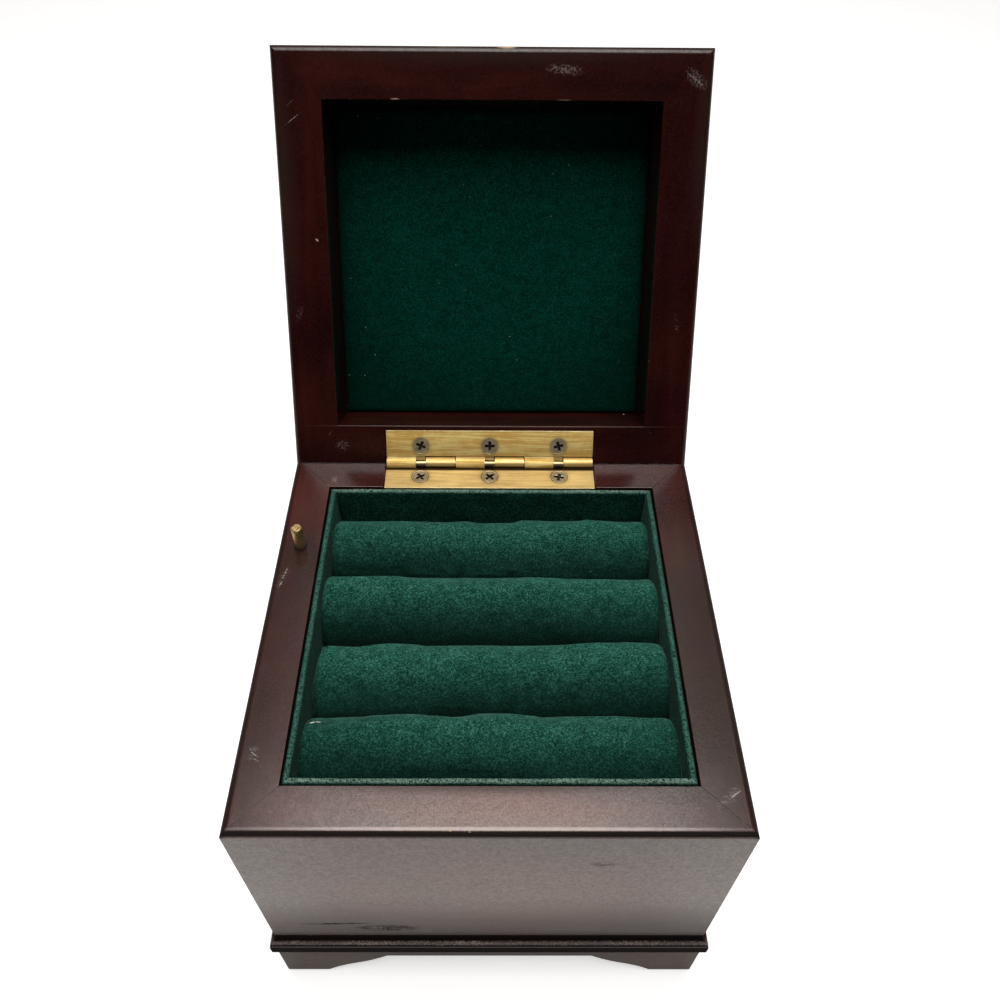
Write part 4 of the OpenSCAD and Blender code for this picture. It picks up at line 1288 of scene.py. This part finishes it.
@dataclass
class Hardware:
    """The hinge, its screws, the plunger and the screws of the bottom."""

    plunger_nodes: tuple[str, ...] = ("plunger_rod", "plunger_collar")
    screw_x: tuple[float, ...] = (-23.83, -0.5, 22.83)
    screw_y: float = 57.1
    # Depths in mm below the head's face where the screw slots' painted shade starts and is full
    slot_unshaded: float = 0.3
    slot_shaded: float = 0.5
    # Heights in mm where the plunger's painted shade starts and is full
    plunger_unshaded: float = 119.5
    plunger_shaded: float = 112.0
    # Near-black of the painted shadow lines and rings
    dark: Colour = (0.02, 0.006, 0.003)
    # Olive-brown of softer painted shade
    soft_shade: Colour = (0.085, 0.06, 0.022)
    # Painted shadow lines beside the knuckles, on the base leaf and on the lid leaf
    base_line: Mark = grime((0, 60.9, 112.9), (ACROSS, 1.25, 1.9), share=0.97, core=0.6, tone=dark)
    lid_line: Mark = grime((0, 60.85, 114.9), (ACROSS, 0.55, 0.9), share=0.9, core=0.4, tone=dark)
    # Painted shade darkening the lid leaf towards its knuckles
    low: Mark = grime((0, 62.5, LID_Z), (ACROSS, 9, 3), share=0.36, tone=soft_shade)

    def _around_screws(self, reach: float, share: float, core: float, tone: Colour) -> list[Mark]:
        """Painted shade marks round the hinge's screws that reach that many mm from each middle."""
        half = (reach, reach, 3.0)
        return [grime((x, self.screw_y, RIM_Z), half, share=share, core=core, tone=tone)
                for x in self.screw_x]

    def build(self) -> None:
        """Finishes the brass and the screws."""
        # Painted shade: a soft halo and a dark ring round each screw head
        halos = self._around_screws(4.6, 0.35, 0.5, self.soft_shade)
        rings = self._around_screws(3.25, 0.95, 0.8, self.dark)
        for name, node, on_lid, leaf_shade, line, tones in (
                ("hinge_brass", "base_leaf", False, [], self.base_line,
                 dict(roughness=0.5, clouds=0.15, dull=(0.46, 0.32, 0.125))),
                ("lid_leaf_brass", "lid_leaf", True, [self.low], self.lid_line,
                 dict(bright=(1.0, 0.82, 0.35), dull=(0.7, 0.42, 0.09), roughness=0.66,
                      brush=2.1, metal=0.72))):
            shade_marks = (*halos, *leaf_shade, *rings, line)
            body = Brushed(name, on_lid=on_lid, shade_marks=shade_marks, **tones).make()
            # The softened edges get paler, brighter brass: painted highlight lines, with the
            # painted shadow line along the knuckles
            edge = Brushed(f"{name}_edge", (1.0, 0.86, 0.58), (0.8, 0.62, 0.32), roughness=0.4,
                           tarnish=0.4, on_lid=on_lid, shade_marks=(line,)).make()
            ease(node, Easing.LEAF, body, edge)
        pin = Brushed("hinge_pin_brass", (1.0, 0.86, 0.52), (0.72, 0.55, 0.26), roughness=0.45)
        ease("hinge_pin", Easing.NONE, pin.make())
        for node, on_lid, top, way, bright in (
                ("base_leaf_screws", False, RIM_Z, -1, (0.42, 0.34, 0.21)),
                ("lid_leaf_screws", True, LID_Z, 1, (0.8, 0.66, 0.46))):
            # Painted shade in the slots, darker with depth
            slots = (top + way * self.slot_unshaded, top + way * self.slot_shaded)
            old = Brushed(f"{node}_brass", bright, (0.19, 0.145, 0.085), (0.03, 0.02, 0.012),
                          0.46, 0.2, 0.25, 0.8, on_lid, slots).make()
            # Paler brass on the heads' softened edges: painted highlight
            lit_rim = Brushed(f"{node}_rim", (0.95, 0.84, 0.64), (0.6, 0.48, 0.3), roughness=0.4,
                          tarnish=0.4, on_lid=on_lid, grime=slots).make()
            ease(node, Easing.HEAD, old, lit_rim)
        # The plunger darkens towards its foot: painted shade
        pitted = Brushed("plunger_brass", (0.7, 0.5, 0.24), (0.38, 0.25, 0.11),
                         (0.08, 0.05, 0.03), 0.38, 0.1, 0.9, 0.8, shade_tone=(0.05, 0.016, 0.008),
                         grime=(self.plunger_unshaded, self.plunger_shaded)).make()
        for node in self.plunger_nodes:
            ease(node, Easing.METAL, pitted)
        zinc = Brushed("zinc_screws", (0.62, 0.62, 0.6), (0.4, 0.4, 0.39), (0.14, 0.13, 0.12),
                       0.35, 0.2, 0.3, 0.5).make()
        ease("bottom_screws", Easing.SMALL, zinc)
        LOG.info("hinge, plunger and screws are finished")


@dataclass
class Movement:
    """The musical movement under the tray."""

    brass_nodes: tuple[str, ...] = ("spring_barrel", "winding_key", "music_cylinder",
                                    "governor_wheel", "governor_fan")
    steel_nodes: tuple[str, ...] = ("movement_screws", "mainspring", "winding_shaft",
                                    "music_comb", "comb_screws", "governor_bracket",
                                    "stop_arm", "plunger_spring")

    def build(self) -> None:
        """Finishes the brass, the steel and the casting."""
        brass = Brushed("movement_brass", (0.82, 0.62, 0.3), (0.6, 0.43, 0.19),
                        (0.2, 0.13, 0.05), 0.24, 0.5).make()
        for node in self.brass_nodes:
            ease(node, Easing.SMALL, brass)
        steel = Brushed("movement_steel", (0.6, 0.61, 0.63), (0.42, 0.43, 0.45),
                        (0.16, 0.15, 0.14), 0.28, 0.7, 0.1, 0.4).make()
        for node in self.steel_nodes:
            ease(node, Easing.NONE if node in ("plunger_spring", "mainspring") else Easing.SMALL,
                 steel)
        casting = Grained("zinc_casting", (0.3, 0.31, 0.32), (0.44, 0.45, 0.46), 500.0,
                          roughness=0.5, metallic=0.8)
        ease("movement_plate", Easing.METAL, casting.make())
        LOG.info("movement is finished")


@dataclass
class Studio:
    """The camera, the white floor and the soft lights."""

    camera_at: Point = (-0.15, -150.45, 327.69)
    right: Point = (0.99997, -0.0014, 0.00699)
    down: Point = (0.00364, -0.74337, -0.66887)
    forward: Point = (0.00613, 0.66888, -0.74335)
    lens: float = 31.886
    shift: tuple[float, float] = (0.004, 0.0093)
    floor_glow: float = 0.62
    floor_mirrored: float = 0.28
    floor_tint: Colour = (1.0, 0.885, 0.82)
    floor_half: float = 3000.0
    floor_steps: int = 24
    room_fill: float = 0.045
    room_mirrored: float = 0.02
    backdrop_low: float = -0.02
    backdrop_high: float = 0.12
    warm: Colour = (1.0, 0.96, 0.915)

    def camera(self) -> None:
        """Sets the camera."""
        data = bpy.data.cameras.new("view")
        data.lens, data.sensor_width = self.lens, 36.0
        data.shift_x, data.shift_y = self.shift
        data.clip_start, data.clip_end = 0.01, 50.0
        eye = bpy.data.objects.new("view", data)
        axes = Matrix((self.right, -Vector(self.down), -Vector(self.forward))).transposed()
        eye.matrix_world = Matrix.Translation(Vector(self.camera_at) * MM) @ axes.to_4x4()
        bpy.context.scene.collection.objects.link(eye)
        bpy.context.scene.camera = eye

    def floor(self) -> None:
        """Makes the white floor, which keeps the object's shadow."""
        graph = Graph(bpy.data.materials.new("studio_floor"))
        matt = graph.add("ShaderNodeBsdfDiffuse", values={
            0: graph.tint(graph.noise(graph.place(), 30.0), (0.8, 0.8, 0.8), (0.84, 0.84, 0.84))})
        ray, mirrored = graph.rays()
        glow = graph.add("ShaderNodeEmission", values={
            0: graph.tint(mirrored, (1.0, 1.0, 1.0), self.floor_tint),
            1: ray * self.floor_glow + mirrored * self.floor_mirrored})
        graph.add_output(graph.add("ShaderNodeAddShader", values={0: matt, 1: glow}))
        half, steps = self.floor_half, self.floor_steps
        spots = [half * (2 * i / steps - 1) for i in range(steps + 1)]
        points = [(x, y, 0.0) for x in spots for y in spots]
        faces = [(i * (steps + 1) + j, (i + 1) * (steps + 1) + j,
                  (i + 1) * (steps + 1) + j + 1, i * (steps + 1) + j + 1)
                 for i in range(steps) for j in range(steps)]
        new_piece("studio_floor", points, faces, graph.owner)

    def world(self) -> None:
        """Makes the room: white to the camera, dim to everything else."""
        world = bpy.data.worlds.new("studio")
        bpy.context.scene.world = world
        graph = Graph(world)
        ray, mirrored = graph.rays()
        _, _, up = graph.parts(graph.add("ShaderNodeTexCoord", output="Generated"))
        backdrop = graph.between(up, self.backdrop_low, self.backdrop_high, 1.0, self.room_mirrored)
        strength = ray + (1 - ray) * (mirrored * backdrop + (1 - mirrored) * self.room_fill)
        shader = graph.add("ShaderNodeBackground", values={0: (1.0, 1.0, 1.0), 1: strength})
        graph.add_output(shader, "ShaderNodeOutputWorld")

    def lamp(self, name: str, at: Point, to: Point, size: tuple[float, float], power: float,
             colour: Colour = (1.0, 1.0, 1.0)) -> None:
        """Adds one soft box.

        Args:
            name: its name.
            at: where it is, in mm.
            to: the point that it faces, in mm.
            size: its width and height, in mm.
            power: its power, in watts.
            colour: its colour.
        """
        data = bpy.data.lights.new(name, "AREA")
        data.shape, data.energy, data.color = "RECTANGLE", power, colour
        data.size, data.size_y = size[0] * MM, size[1] * MM
        box = bpy.data.objects.new(name, data)
        way = Vector(to) - Vector(at)
        box.matrix_world = (Matrix.Translation(Vector(at) * MM)
                            @ way.to_track_quat("-Z", "Y").to_matrix().to_4x4())
        bpy.context.scene.collection.objects.link(box)

    def build(self) -> None:
        """Sets the camera, the floor, the room and the lights."""
        bpy.context.scene.view_settings.view_transform = "Standard"
        self.camera()
        self.floor()
        self.world()
        self.lamp("overhead", (0, -7, 1100), (0, -7, 100), (610, 785), 11.4, self.warm)
        self.lamp("behind", (0, 693, 1100), (0, 693, 100), (540, 615), 1.6, self.warm)
        LOG.info("studio is set")


def main() -> None:
    """Builds the studio and every part of the box."""
    logging.basicConfig(level=logging.INFO, format="%(message)s")
    for maker in (Studio(), Case(), Lid(), Tray(), Hardware(), Movement()):
        maker.build()


if __name__ == "__main__":
    main()
